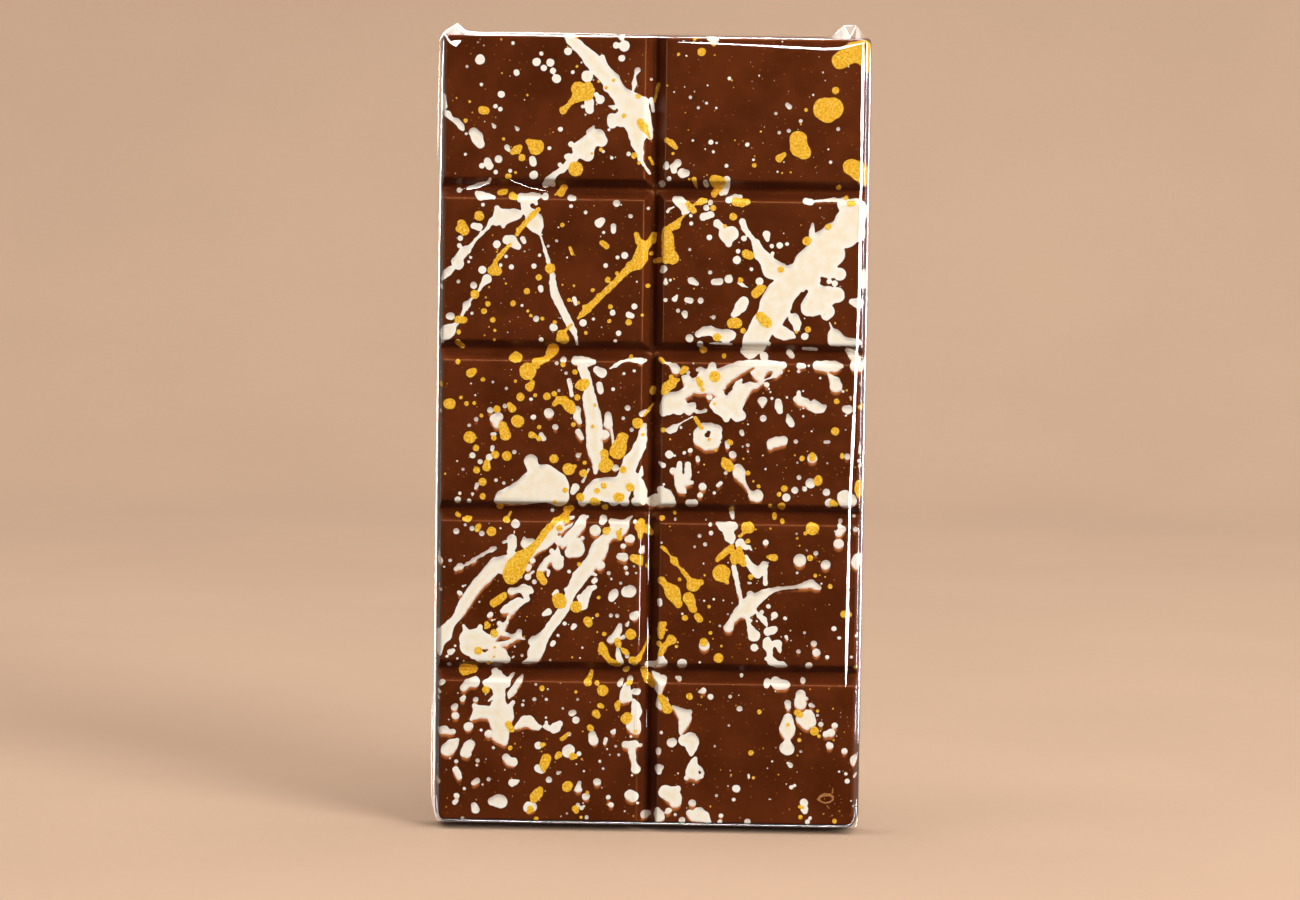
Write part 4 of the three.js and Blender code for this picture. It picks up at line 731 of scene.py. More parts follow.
def crinkled_film_material():
    """Film so crinkled that it scatters the light and looks milk-white; its whiter pleat facets are partly painted
    reflection.
    """
    material, tree, place = new_material("crinkled_film")
    creases = noise(tree, place, size=0.0012).ramp(0.3, 0.7) * 0.2 + 0.7
    milk = add_node(tree, "ShaderNodeBsdfDiffuse", None, {"Color": rgba(MILK_AND_GLINT_WHITE)})
    # how white each pleat facet is: the crinkled film's scatter and painted reflection
    show_film(tree, attribute(tree, "milk_and_glint") * creases, milk)
    return material


def backdrop_material(colours):
    """Matt warm paper."""
    material, tree, place = new_material("warm_backdrop")
    grain = noise(tree, place, size=0.0012)
    broad = noise(tree, place, size=0.09, detail=3.0)
    cloud = (grain * 0.3 + broad * 0.7).ramp(0.35, 0.65)
    colour = mix_colours(tree, cloud, tinted(colours.backdrop, 0.955), colours.backdrop)
    show_principled(tree, colour, 0.9, specular=0.1)
    return material


# Shapes

TINY = 1e-9
WELD = 1e-4  # points of a splash that are nearer than this are one
SPLASH_ROOT = 0.06  # how far a splash reaches into the chocolate
RIBBON_STEP, RIBBON_THICK = 0.3, 0.05
RIBBON_END = 0.2  # a ribbon's width at its very end, as a share
RIBBON_TAPER = 0.25, 5.0  # stretch over which an end narrows: a share of its length, and at most so much


def bell(t):
    """1 at 0, 0 from 1 on, and smooth in between."""
    return np.where(np.abs(t) < 1, np.cos(np.clip(t, -1, 1) * math.pi / 2) ** 2, 0.0)


def smooth_step(low, high, value):
    """0 at low, 1 at high, held beyond them, and smooth in between. High may be the lesser."""
    t = np.clip((value - low) / (high - low), 0, 1)
    return t * t * (3 - 2 * t)


class Tablet:
    """The moulded surface, in millimetres on the tablet's sheet."""

    LEFT_BULGE = 0.38  # the left edge of the faces lies a little further out
    BULGE_FROM, BULGE_TO = -38.2, -39.5
    ARC_REST = 0.015  # share of an edge's radius that its arc leaves to the wall
    LIP_ROUND = 0.75  # softness of a groove's bends, in edge roundings
    LIP_ENDS = 1.5, 0.4  # stretch beside a groove over which its lip runs out, in edge roundings
    BACK_LEAST = 0.3  # chocolate left behind the deepest relief
    NORMAL_STEP = 0.02
    # Lines of the grid: shares of a groove's slope, of the edge rounding (twice), of the wall and of a corner.
    SLOPE_LINES = (0.25, 0.5, 0.75)
    LIP_LINES = (-0.45, -0.2, 0.0, 0.25, 0.6, 1.5)
    ROUND_LINES = (-1.0, -0.62, -0.3, 0.0)
    WALL_LINES = (0.08, 0.25, 0.5, 0.75, 1.0)
    CORNER_LINES = (0.33, 0.66, 1.0)

    def __init__(self, sizes):
        self.rows, self.columns = sizes.rows, sizes.columns
        self.width, self.height = sizes.square_width / MM, sizes.square_height / MM
        self.groove, self.floor = sizes.groove_width / MM, sizes.groove_floor / MM
        self.deep, self.round = sizes.groove_depth / MM, sizes.edge_round / MM
        self.half_width = (self.columns * self.width + (self.columns - 1) * self.groove) / 2
        self.length = self.rows * self.height + (self.rows - 1) * self.groove
        self.lower_radius, self.upper_radius = sizes.lower_corner / MM, sizes.upper_corner / MM
        low, high = TABLET_LOW / MM, TABLET_HIGH / MM
        self.thick = high[1] - low[1]
        self.draft = (high[0] - low[0]) / 2 - self.half_width
        self.face_y, self.foot_z = low[1], low[2] + self.draft
        self.upper_draft = high[2] - self.foot_z - self.length
        self.grooves_x = [(k - self.columns / 2) * (self.width + self.groove) for k in range(1, self.columns)]
        self.grooves_z = [k * (self.height + self.groove) - self.groove / 2 for k in range(1, self.rows)]

    def place(self, x, z, depth):
        """Points of the sheet in the frame, in metres."""
        x, z, depth = np.broadcast_arrays(x, z, depth)
        x = x - self.LEFT_BULGE * smooth_step(self.BULGE_FROM, self.BULGE_TO, x)
        return np.stack([x, self.face_y + depth, self.foot_z + z], -1) * MM

    def groove_section(self, away):
        """Depth of a groove at this distance from its middle."""
        run = (self.groove - self.floor) / 2
        fall = self.deep * (self.groove / 2 - away) / run
        rounded = (fall + np.sqrt(fall**2 + (self.LIP_ROUND * self.round) ** 2)) / 2
        out, full = (self.groove / 2 + t * self.round for t in self.LIP_ENDS)
        fade = smooth_step(out, full, away)
        return np.minimum(rounded * fade, self.deep)

    def grooves(self, x, z):
        """Depth of the grooves alone."""
        depth = np.zeros(np.broadcast(x, z).shape)
        for middle in self.grooves_x:
            depth = np.maximum(depth, self.groove_section(np.abs(x - middle)))
        for middle in self.grooves_z:
            depth = np.maximum(depth, self.groove_section(np.abs(z - middle)))
        return depth

    def stretch(self, z, grow=0.0):
        """Height on a tablet whose upper end would lean as much as its sides do."""
        over = np.maximum(z - self.length - grow, 0)
        return z + over * (self.draft / self.upper_draft - 1)

    def shrink(self, z, grow=0.0):
        """The way back from stretch."""
        over = np.maximum(z - self.length - grow, 0)
        return z - over * (1 - self.upper_draft / self.draft)

    def past_straights(self, x, z, grow):
        """The nearest corner's radius, and how far a point lies past the ends of the straight edges beside it."""
        middle = self.length / 2
        radius = np.where(z < middle, self.lower_radius, self.upper_radius) + grow
        across = np.abs(x) - self.half_width - grow + radius
        along = np.abs(z - middle) - middle - grow + radius
        return radius, across, along

    def outside(self, x, z, grow=0.0):
        """How far a point lies outside the outline of the faces, grown by `grow`."""
        radius, across, along = self.past_straights(x, self.stretch(z, grow), grow)
        corner = np.hypot(np.maximum(across, 0), np.maximum(along, 0))
        return corner + np.minimum(np.maximum(across, along), 0) - radius

    def wall(self, outside, radius, lean):
        """Depth of a rounded edge and the wall behind it, which leans out by `lean` a millimetre."""
        inside = np.clip(outside + radius, 0, radius * (1 - self.ARC_REST))
        rounded = radius - np.sqrt(radius**2 - inside**2)
        past = outside + self.ARC_REST * radius
        return np.where(outside > -self.ARC_REST * radius, rounded + past / lean, rounded)

    def surface(self, x, z):
        """Depth of the chocolate behind the plane of the faces."""
        lean = self.draft / (self.thick - self.round)
        side = self.wall(self.outside(x, z), self.round, lean)
        return np.minimum(np.maximum(self.grooves(x, z), side), self.thick - self.BACK_LEAST)

    def normal(self, x, z):
        """Unit normals of the surface, pointing out of it, in the frame's axes."""
        step = self.NORMAL_STEP
        slope_x = (self.surface(x + step, z) - self.surface(x - step, z)) / (2 * step)
        slope_z = (self.surface(x, z + step) - self.surface(x, z - step)) / (2 * step)
        normal = np.stack([slope_x, -np.ones_like(slope_x), slope_z], -1)
        return normal / np.linalg.norm(normal, axis=-1, keepdims=True)

    def groove_lines(self, middle):
        """Where a groove bends."""
        half, floor = self.groove / 2, self.floor / 2
        lines = [0.0, floor] + [floor + (half - floor) * t for t in self.SLOPE_LINES]
        lines += [half + t * self.round for t in self.LIP_LINES]
        return [middle - line for line in lines[:0:-1]] + [middle + line for line in lines]

    def relief_lines(self, low, high, grooves):
        """Where the surface bends between the two edges of the faces."""
        arc = [t * self.round for t in self.ROUND_LINES]
        lines = [low - a for a in arc] + [high + a for a in arc]
        for middle in grooves:
            lines += self.groove_lines(middle)
        return sorted(lines)

    def grid_lines(self, low, high, grooves, spacing=2.6):
        """Lines of the whole grid: where it bends, the walls beyond the edges, and some on the plain faces."""
        bends = self.relief_lines(low, high, grooves)
        walls = [self.draft * t for t in self.WALL_LINES]
        lines = [low - w for w in reversed(walls)] + bends + [high + w for w in walls]
        for a, b in zip(bends, bends[1:]):
            count = int((b - a) / spacing)
            lines += [a + (b - a) * k / (count + 1) for k in range(1, count + 1)]
        for share in self.CORNER_LINES:
            lines += [low + share * self.lower_radius, high - share * self.lower_radius]
        return np.unique(np.round(lines, 4))

    def round_corners(self, x, z, grow=0.0):
        """Bends a square grid's corners round the corners of the faces, grown by `grow`."""
        middle = self.length / 2
        radius, across, along = self.past_straights(x, z, grow)
        corner = (across > 0) & (along > 0)
        far = np.maximum(across, along)
        beside, above = along / np.maximum(across, TINY), 2 - across / np.maximum(along, TINY)
        angle = np.where(across > along, beside, above) * math.pi / 4
        new_x = np.where(corner, np.sign(x) * (self.half_width + grow - radius + far * np.cos(angle)), x)
        new_z = np.where(corner, middle + np.sign(z - middle) * (middle + grow - radius + far * np.sin(angle)), z)
        return new_x, self.shrink(new_z, grow)


def between(values, i, j, s, t):
    """A grid's values between its points: columns i and on by the share s, rows j and on by the share t."""
    low = values[j, i] * (1 - s) + values[j, i + 1] * s
    high = values[j + 1, i] * (1 - s) + values[j + 1, i + 1] * s
    return low * (1 - t) + high * t


def cloud_field(rng, x, z, size):
    """Smooth noise from -1 to 1 with features of about this size."""
    u, w = x / size, z / size
    i, j = np.floor(u).astype(int), np.floor(w).astype(int)
    values = rng.uniform(-1, 1, (int(j.max() - j.min()) + 2, int(i.max() - i.min()) + 2))
    s, t = u - i, w - j
    s, t = s * s * (3 - 2 * s), t * t * (3 - 2 * t)
    return between(values, i - i.min(), j - j.min(), s, t)


def read_marks(text):
    """Chains of beads, each an (x, z, radius)."""
    marks = [mark for mark in text.replace("\n", " ").split(";") if mark.strip()]
    return [[tuple(float(v) for v in bead.split(",")) for bead in mark.split(">")] for mark in marks]


class Blots:
    """Signed distance to the rims of splashed marks, below zero inside, on a fine grid over the sheet."""

    FAR = 2.2  # the distance where there is no mark
    WALL_SHARE = 0.75  # how far down the walls the grid reaches
    BEFORE_LAST = 1.001  # keeps what is read inside the grid's last cell

    def __init__(self, tablet, step):
        self.step = step
        edge = tablet.draft * self.WALL_SHARE
        top = tablet.shrink(tablet.length + edge)
        self.x = np.arange(-tablet.half_width - edge, tablet.half_width + edge + step, step)
        self.z = np.arange(-edge, top + step / 2, step)
        self.gx, self.gz = np.meshgrid(self.x, self.z)
        self.field = np.full(self.gx.shape, self.FAR)

    @staticmethod
    def span(lines, low, high):
        """The part of the grid's lines that covers this stretch."""
        return slice(max(np.searchsorted(lines, low) - 1, 0), np.searchsorted(lines, high) + 1)

    def splash(self, text, blend=0.3):
        """Adds marks, each a chain of tapered strokes that melt together."""
        for mark in read_marks(text):
            for (xa, za, ra), (xb, zb, rb) in zip(mark, mark[1:] or mark):
                reach = max(ra, rb) + self.FAR
                columns = self.span(self.x, min(xa, xb) - reach, max(xa, xb) + reach)
                rows = self.span(self.z, min(za, zb) - reach, max(za, zb) + reach)
                x, z, old = self.gx[rows, columns], self.gz[rows, columns], self.field[rows, columns]
                length = (xb - xa) ** 2 + (zb - za) ** 2
                t = np.clip(((x - xa) * (xb - xa) + (z - za) * (zb - za)) / length, 0, 1) if length else 0.0
                away = np.hypot(x - xa - t * (xb - xa), z - za - t * (zb - za)) - ra - t * (rb - ra)
                near = np.clip(0.5 + 0.5 * (old - away) / blend, 0, 1)
                self.field[rows, columns] = old + (away - old) * near - blend * near * (1 - near)
        return self

    def cut(self, text):
        """Takes marks away again."""
        gaps = copy.copy(self)
        gaps.field = np.full(self.gx.shape, self.FAR)
        self.field = np.maximum(self.field, -gaps.splash(text).field)
        return self

    def ruffle(self, rng, waves=((1.5, 0.07), (0.55, 0.05))):
        """Makes the rims uneven by waves, each a size and a height."""
        for size, height in waves:
            self.field = self.field + height * cloud_field(rng, self.gx, self.gz, size)
        return self

    def read(self, field, x, z):
        """A field of this grid between its points."""
        u = np.clip((x - self.x[0]) / self.step, 0, len(self.x) - self.BEFORE_LAST)
        w = np.clip((z - self.z[0]) / self.step, 0, len(self.z) - self.BEFORE_LAST)
        i, j = u.astype(int), w.astype(int)
        return between(field, i, j, u - i, w - j)


def rim(blots, field):
    """The zero line of a field: points where it crosses the grid, and the edges that join them."""
    inside = field < 0
    across, up = inside[:, :-1] != inside[:, 1:], inside[:-1] != inside[1:]
    across_ids, up_ids = np.full(across.shape, -1), np.full(up.shape, -1)
    across_ids[across] = np.arange(across.sum())
    up_ids[up] = across.sum() + np.arange(up.sum())
    with np.errstate(divide="ignore", invalid="ignore"):
        t = (field[:, :-1] / (field[:, :-1] - field[:, 1:]))[across]
        s = (field[:-1] / (field[:-1] - field[1:]))[up]
    first = np.stack([blots.gx[:, :-1][across] + t * blots.step, blots.gz[:, :-1][across]], -1)
    second = np.stack([blots.gx[:-1][up], blots.gz[:-1][up] + s * blots.step], -1)
    sides = np.stack([across_ids[:-1], up_ids[:, :-1], across_ids[1:], up_ids[:, 1:]], -1)
    crossed = sides >= 0
    two = crossed.sum(-1) == 2
    edges = [sides[two][crossed[two]].reshape(-1, 2)]
    four = sides[crossed.sum(-1) == 4]
    edges += [four[:, (0, 1)], four[:, (2, 3)]]
    return np.concatenate([first, second]), np.concatenate(edges)


def closed_faces(faces, start, end, n):
    """Triangles of a closed skin: a front, the same on the back's points, and a rim along edges start to end."""
    near = np.stack([end, start, start + n], -1)
    far = np.stack([end, start + n, end + n], -1)
    return np.concatenate([faces, faces[:, ::-1] + n, near, far])


def write_attribute(mesh, name, values):
    """Gives each of a mesh's points a number for its material to read."""
    layer = mesh.attributes.new(name, "FLOAT", "POINT")
    layer.data.foreach_set("value", values.astype(np.float32))


def splash_mesh(name, tablet, blots, field, extra, height, shades):
    """A closed skin over the part of the sheet where the field is below zero, laid on the tablet's relief.

    The extra points lie inside its rims. Shades gives the attributes of points by name.
    """
    points, edges = rim(blots, field)
    lines_x = tablet.relief_lines(-tablet.half_width, tablet.half_width, tablet.grooves_x)
    lines_z = tablet.relief_lines(0.0, tablet.length, tablet.grooves_z)
    ends = [((x, blots.z[0]), (x, blots.z[-1])) for x in lines_x]
    ends += [((blots.x[0], z), (blots.x[-1], z)) for z in lines_z]
    count = len(points) + len(extra)
    verts = [Vector(p) for p in np.concatenate([points, extra]).tolist()] + [Vector(p) for pair in ends for p in pair]
    seams = edges.tolist() + [(count + 2 * k, count + 2 * k + 1) for k in range(len(ends))]
    verts, _, faces, *_ = delaunay_2d_cdt(verts, seams, [], 0, WELD, False)
    flat = np.array([tuple(v) for v in verts])
    faces = np.array(faces)
    middle = flat[faces].mean(1)
    faces = faces[blots.read(field, middle[:, 0], middle[:, 1]) < 0]
    used, faces = np.unique(faces, return_inverse=True)
    faces = faces.reshape(-1, 3)
    x, z = flat[used].T
    a, b, c = (flat[used][faces[:, k]] for k in range(3))
    turned = (b[:, 0] - a[:, 0]) * (c[:, 1] - a[:, 1]) - (b[:, 1] - a[:, 1]) * (c[:, 0] - a[:, 0]) < 0
    faces[turned] = faces[turned][:, ::-1]
    skin_points, normal = tablet.place(x, z, tablet.surface(x, z)), tablet.normal(x, z)
    top = skin_points + normal * height * MM
    under = skin_points - normal * SPLASH_ROOT * MM
    sides = np.concatenate([faces[:, (0, 1)], faces[:, (1, 2)], faces[:, (2, 0)]])
    keys = np.sort(sides, 1)
    _, where, counts = np.unique(keys, axis=0, return_index=True, return_counts=True)
    start, end = sides[where[counts == 1]].T
    triangles = closed_faces(faces, start, end, len(x))
    mesh = bpy.data.meshes.new(name)
    mesh.from_pydata(np.concatenate([top, under]).tolist(), [], triangles.tolist())
    for key, values in shades(x, z).items():
        write_attribute(mesh, key, np.tile(values, 2))
    return mesh


def skin(front, back, first=None):
    """A closed skin between two grids of points. `first` tells which cells fold along their first diagonal."""
    rows, columns = front.shape[:2]
    n = rows * columns
    ids = np.arange(n).reshape(rows, columns)
    a, b, c, d = ids[:-1, :-1], ids[:-1, 1:], ids[1:, 1:], ids[1:, :-1]
    first = np.ones(a.shape, bool) if first is None else first
    cells = np.where(first[..., None], np.stack([a, b, c, a, c, d], -1), np.stack([a, b, d, b, c, d], -1))
    loop = np.concatenate([ids[0, :-1], ids[:-1, -1], ids[-1, :0:-1], ids[:0:-1, 0]])
    verts = np.concatenate([front.reshape(-1, 3), back.reshape(-1, 3)])
    return verts, closed_faces(cells.reshape(-1, 3), loop, np.roll(loop, -1), n)


def shell(xs, zs, bend, front, back, shrink):
    """A closed skin over a grid on the sheet, its back drawn in by `shrink`. Every cell folds along the relief."""
    gx, gz = np.meshgrid(xs, zs)
    x, z = bend(gx, gz)
    middle = (z.min() + z.max()) / 2
    back_x = x * (1 - shrink / x.max())
    back_z = middle + (z - middle) * (1 - shrink / (z.max() - middle))
    near = front(x, z)
    cell_x, cell_z = (gx[:-1, :-1] + gx[1:, 1:]) / 2, (gz[:-1, :-1] + gz[1:, 1:]) / 2
    centre = front(*bend(cell_x, cell_z))[..., 1]
    height = near[..., 1]
    one = np.abs((height[:-1, :-1] + height[1:, 1:]) / 2 - centre)
    other = np.abs((height[:-1, 1:] + height[1:, :-1]) / 2 - centre)
    return skin(near, back(back_x, back_z), one <= other)


def ribbon(tablet, path, width, depth, tilt):
    """A thin closed strip of film along a path before the faces. Its tilt (across, up) is the way it leans back."""
    x, z = np.array(path, float).T
    far = np.concatenate([[0], np.cumsum(np.hypot(np.diff(x), np.diff(z)))])
    at = np.linspace(0, far[-1], max(int(far[-1] / RIBBON_STEP), 6))
    x, z = np.interp(at, far, x), np.interp(at, far, z)
    dx, dz = np.gradient(x), np.gradient(z)
    size = np.hypot(dx, dz)
    taper = min(at[-1] * RIBBON_TAPER[0], RIBBON_TAPER[1])
    ends = np.minimum(1, RIBBON_END + np.minimum(at, at[-1] - at) / taper)
    half = width / 2 * ends * (1 + 0.15 * np.sin(at / 5.3) + 0.1 * np.sin(at / 1.9))
    side = np.array([-1.0, 1.0]) * half[:, None]
    gx, gz = x[:, None] + side * (dz / size)[:, None], z[:, None] - side * (dx / size)[:, None]
    deep = depth + tilt[0] * (gx - x[0]) + tilt[1] * (gz - z[0])
    return skin(tablet.place(gx, gz, deep), tablet.place(gx, gz, deep + RIBBON_THICK))


def join(name, parts):
    """One mesh of several closed skins."""
    mesh = bpy.data.meshes.new(name)
    starts = np.cumsum([0] + [len(verts) for verts, _ in parts])
    verts = np.concatenate([verts for verts, _ in parts])
    faces = np.concatenate([faces + start for (_, faces), start in zip(parts, starts)])
    mesh.from_pydata(verts.tolist(), [], faces.tolist())
    return mesh


def finish_piece(name, mesh, material, smooth=True):
    """An object at the origin that rides on the part's one body."""
    mesh.materials.append(material)
    if smooth:
        mesh.shade_smooth()
    else:
        mesh.shade_flat()
    mesh.validate()
    piece = bpy.data.objects.new(name, mesh)
    bpy.context.scene.collection.objects.link(piece)
    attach(piece, BODY)
    return piece


class TABLET_OT_chocolate(bpy.types.Operator):
    """Mould the chocolate tablet"""

    bl_idname = "tablet.chocolate"
    bl_label = "Chocolate"

    BACK_ROUND = 0.35  # how far the back's outline is drawn in
    FOOT = 0.53  # how much further down the foot of the lower wall reaches
    SCRAPE_SIZE, SCRAPE = 7.0, 0.05  # width and height of the waves in the scraped back

    def execute(self, context):
        tablet = Tablet(context.scene.tablet_sizes)
        seed = context.scene.tablet_splash.seed
        xs = tablet.grid_lines(-tablet.half_width, tablet.half_width, tablet.grooves_x)
        zs = tablet.grid_lines(0.0, tablet.length, tablet.grooves_z)

        def down(z):
            """Lets the foot of the walls reach the film under them."""
            return z - self.FOOT * smooth_step(-0.1, -1.2, z)

        def front(x, z):
            return tablet.place(x, down(z), tablet.surface(x, z))

        def back(x, z):
            scrape = cloud_field(np.random.default_rng(seed), x, z, self.SCRAPE_SIZE) * self.SCRAPE
            inner = smooth_step(0.0, -3.0, tablet.outside(x, z))
            return tablet.place(x, down(z), tablet.thick - (self.SCRAPE - scrape) * inner)

        mesh = join("chocolate", [shell(xs, zs, tablet.round_corners, front, back, self.BACK_ROUND)])
        material = chocolate_material(context.scene.tablet_colours)
        piece = finish_piece("chocolate", mesh, material)
        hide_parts(TABLET_NODE)
        return {"FINISHED"}


class TABLET_OT_splashes(bpy.types.Operator):
    """Splash the faces with ivory and gold"""

    bl_idname = "tablet.splashes"
    bl_label = "Splashes"

    UPPER_SHADE_REACH = 1.0  # how far grey, partly painted shade, reaches down from an upper rim
    RUN = 0.8  # how far a warm glow reaches below the ivory
    WARM = 0.4  # how far warmth reaches up from a lower rim
    GREY_SIZE, RUN_SIZE = 6.0, 7.0  # of the patches where rims turn grey with painted shade, and of those where they run out
    LOW_ROWS = 96.0, 84.0  # heights between which more of both sets in
    GLOW_GAP = 0.3  # how far the glow reaches in under the ivory
    GLOW_HEIGHT = 0.4  # as a share of the ivory's
    GOLD_WAVES = ((1.2, 0.07), (0.45, 0.06))
    FLECK_BLEND = 0.08
    SPACING = 0.42  # of the points that carry the shades
    JITTER = 0.25  # as a share of their spacing
    INNER = 0.15  # how far inside the rims they lie
    LEAST = 1e-6  # keeps a quotient finite

    def execute(self, context):
        tablet = Tablet(context.scene.tablet_sizes)
        sizes, colours = context.scene.tablet_splash, context.scene.tablet_colours
        ivory_height, gold_height = sizes.ivory_height / MM, sizes.gold_height / MM
        rng = np.random.default_rng(sizes.seed)
        step = sizes.cell / MM
        blots = Blots(tablet, step)
        blots.splash(IVORY_MARKS).cut(IVORY_GAPS).ruffle(rng)
        ivory = blots.field
        x, z = blots.gx, blots.gz
        low_rows = smooth_step(*self.LOW_ROWS, z)
        # patches where the upper rims turn grey, partly as painted shade
        grey_shade_patches = smooth_step(-0.1, 0.5, cloud_field(rng, x, z, self.GREY_SIZE) + 0.35 * low_rows)
        runs = smooth_step(-0.35, 0.3, cloud_field(rng, x, z, self.RUN_SIZE)) * (0.12 + 0.88 * low_rows)

        shaded_upper_rims = smooth_step(-0.1, self.UPPER_SHADE_REACH, blots.read(ivory, x, z + self.UPPER_SHADE_REACH))
        warmed = smooth_step(-0.3, 0.1, ivory) * smooth_step(0.1, -0.3, blots.read(ivory, x, z + self.WARM))
        shades = {
            "cover": 1 - 0.85 * grey_shade_patches * shaded_upper_rims,
            "warm": 0.6 * runs * warmed,
            "rim": 0.9 * smooth_step(-1.1, -0.25, ivory),
        }
        self.lay(tablet, rng, IVORY, blots, ivory, ivory_height, shades, ivory_material(colours), "ivory_splash")

        below = blots.read(ivory, x, z + self.RUN) + self.RUN * (1 - runs)
        shades = {"cover": np.clip(-below / np.maximum(ivory - below, self.LEAST), 0, 1)}
        glow, height = np.maximum(below, -(ivory + self.GLOW_GAP)), ivory_height * self.GLOW_HEIGHT
        self.lay(tablet, rng, GLOW, blots, glow, height, shades, glow_material(colours), "ivory_splash")

        golds = Blots(tablet, step)
        golds.splash(GOLD_MARKS).ruffle(rng, self.GOLD_WAVES)
        shades = {"over_ivory": smooth_step(0.1, -0.15, ivory)}
        self.lay(tablet, rng, GOLD, golds, golds.field, gold_height, shades, gold_material(colours), "gold_splash")

        flecks = Blots(tablet, step / 2)
        flecks.splash(BRONZE_MARKS, self.FLECK_BLEND)
        bronze = gold_material(colours, "bronze_cocoa_butter", tuple(colours.bronze), tuple(colours.bronze))
        self.lay(tablet, rng, BRONZE, flecks, flecks.field, gold_height, {}, bronze, "gold_splash")
        return {"FINISHED"}

    def lay(self, tablet, rng, name, blots, field, height, shades, material, slot):
        """One kind of splash on the relief, with scattered points inside its rims that carry its shades."""
        skip = max(int(round(self.SPACING / blots.step)), 1)
        rows, columns = slice(1, None, skip), slice(1, None, skip)
        keep = field[rows, columns] < -self.INNER
        points = np.stack([blots.gx[rows, columns][keep], blots.gz[rows, columns][keep]], -1)
        points += rng.uniform(-self.JITTER, self.JITTER, points.shape) * self.SPACING

        def read_shades(x, z):
            return {key: blots.read(values, x, z) for key, values in shades.items()}

        mesh = splash_mesh(name, tablet, blots, field, points, height, read_shades)
        finish_piece(name, mesh, material, smooth=False)


class TABLET_OT_mist(bpy.types.Operator):
    """Scatter the finest droplets"""

    bl_idname = "tablet.mist"
    bl_label = "Mist"

    INSET = 0.5  # from the edges of a face to where droplets fall
    FLAT = 0.3  # height of a droplet as a share of its radius
    FEW_LARGE = 3.0  # the higher, the fewer of the droplets are large

    def execute(self, context):
        tablet = Tablet(context.scene.tablet_sizes)
        sizes, colours = context.scene.tablet_splash, context.scene.tablet_colours
        ivory = ivory_material(colours, "ivory_mist", shaded=False)
        gold = gold_material(colours, "gold_mist")
        for name, material, slot, share, seed in (
            ("ivory_mist", ivory, "ivory_splash", 1.0, sizes.seed),
            ("gold_mist", gold, "gold_splash", sizes.gold_share, sizes.seed + 1),
        ):
            mesh = self.scatter(context, tablet, name, material, sizes.mist * share, seed)
            finish_piece(name, mesh, material)
        return {"FINISHED"}

    def plates(self, tablet):
        """A plain plate on the face of every square."""
        inset = self.INSET
        verts, faces = [], []
        for column in range(tablet.columns):
            for row in range(tablet.rows):
                left = -tablet.half_width + column * (tablet.width + tablet.groove) + inset
                low = row * (tablet.height + tablet.groove) + inset
                right, high = left + tablet.width - 2 * inset, low + tablet.height - 2 * inset
                corners = np.array([(left, low), (right, low), (right, high), (left, high)])
                faces.append(tuple(range(len(verts), len(verts) + 4)))
                verts += tablet.place(corners[:, 0], corners[:, 1], 0.0).tolist()
        mesh = bpy.data.meshes.new("mist_plates")
        mesh.from_pydata(verts, [], faces)
        return mesh

    def scatter(self, context, tablet, name, material, density, seed):
        """Droplets of random sizes on the plates, made by Geometry Nodes and turned into a plain mesh."""
        tree = bpy.data.node_groups.new(name, "GeometryNodeTree")
        sockets = {}
        for label, kind in (
            ("Geometry", "NodeSocketGeometry"), ("Density", "NodeSocketFloat"), ("Smallest", "NodeSocketFloat"),
            ("Largest", "NodeSocketFloat"), ("Seed", "NodeSocketInt"), ("Material", "NodeSocketMaterial"),
        ):
            sockets[label] = tree.interface.new_socket(name=label, in_out="INPUT", socket_type=kind).identifier
        tree.interface.new_socket(name="Geometry", in_out="OUTPUT", socket_type="NodeSocketGeometry")
        given = tree.nodes.new("NodeGroupInput")
        value = {socket.name: Node(tree, socket) for socket in given.outputs}
        spread = add_node(
            tree, "GeometryNodeDistributePointsOnFaces", None,
            {"Mesh": value["Geometry"], "Density": value["Density"], "Seed": value["Seed"]},
        )
        turn = Node(tree, spread.socket.node.outputs["Rotation"])
        drop = add_node(tree, "GeometryNodeMeshIcoSphere", None, {"Radius": 1.0, "Subdivisions": 1})
        drop = add_node(tree, "GeometryNodeTransform", None, {"Geometry": drop, "Scale": (1.0, 1.0, self.FLAT)})
        luck = add_node(tree, "FunctionNodeRandomValue", {"data_type": "FLOAT"}, {"Seed": value["Seed"]}, output=1)
        size = value["Smallest"] + (value["Largest"] - value["Smallest"]) * luck.power(self.FEW_LARGE)
        drops = add_node(
            tree, "GeometryNodeInstanceOnPoints", None,
            {"Points": spread, "Instance": drop, "Rotation": turn, "Scale": size},
        )
        drops = add_node(tree, "GeometryNodeRealizeInstances", None, {"Geometry": drops})
        drops = add_node(tree, "GeometryNodeSetMaterial", None, {"Geometry": drops, "Material": value["Material"]})
        tree.links.new(drops.socket, tree.nodes.new("NodeGroupOutput").inputs[0])

        plates = bpy.data.objects.new(f"{name}_plates", self.plates(tablet))
        context.scene.collection.objects.link(plates)
        maker = plates.modifiers.new("drops", "NODES")
        maker.node_group = tree
        settings = context.scene.tablet_splash
        for label, setting in (
            ("Density", density), ("Smallest", settings.smallest_drop), ("Largest", settings.largest_drop),
            ("Seed", seed), ("Material", material),
        ):
            maker[sockets[label]] = setting
        context.view_layer.update()
        made = bpy.data.meshes.new_from_object(plates.evaluated_get(context.evaluated_depsgraph_get()))
        made.name = name
        made.materials.clear()
        plates.modifiers.remove(maker)
        bpy.data.objects.remove(plates)
        return made


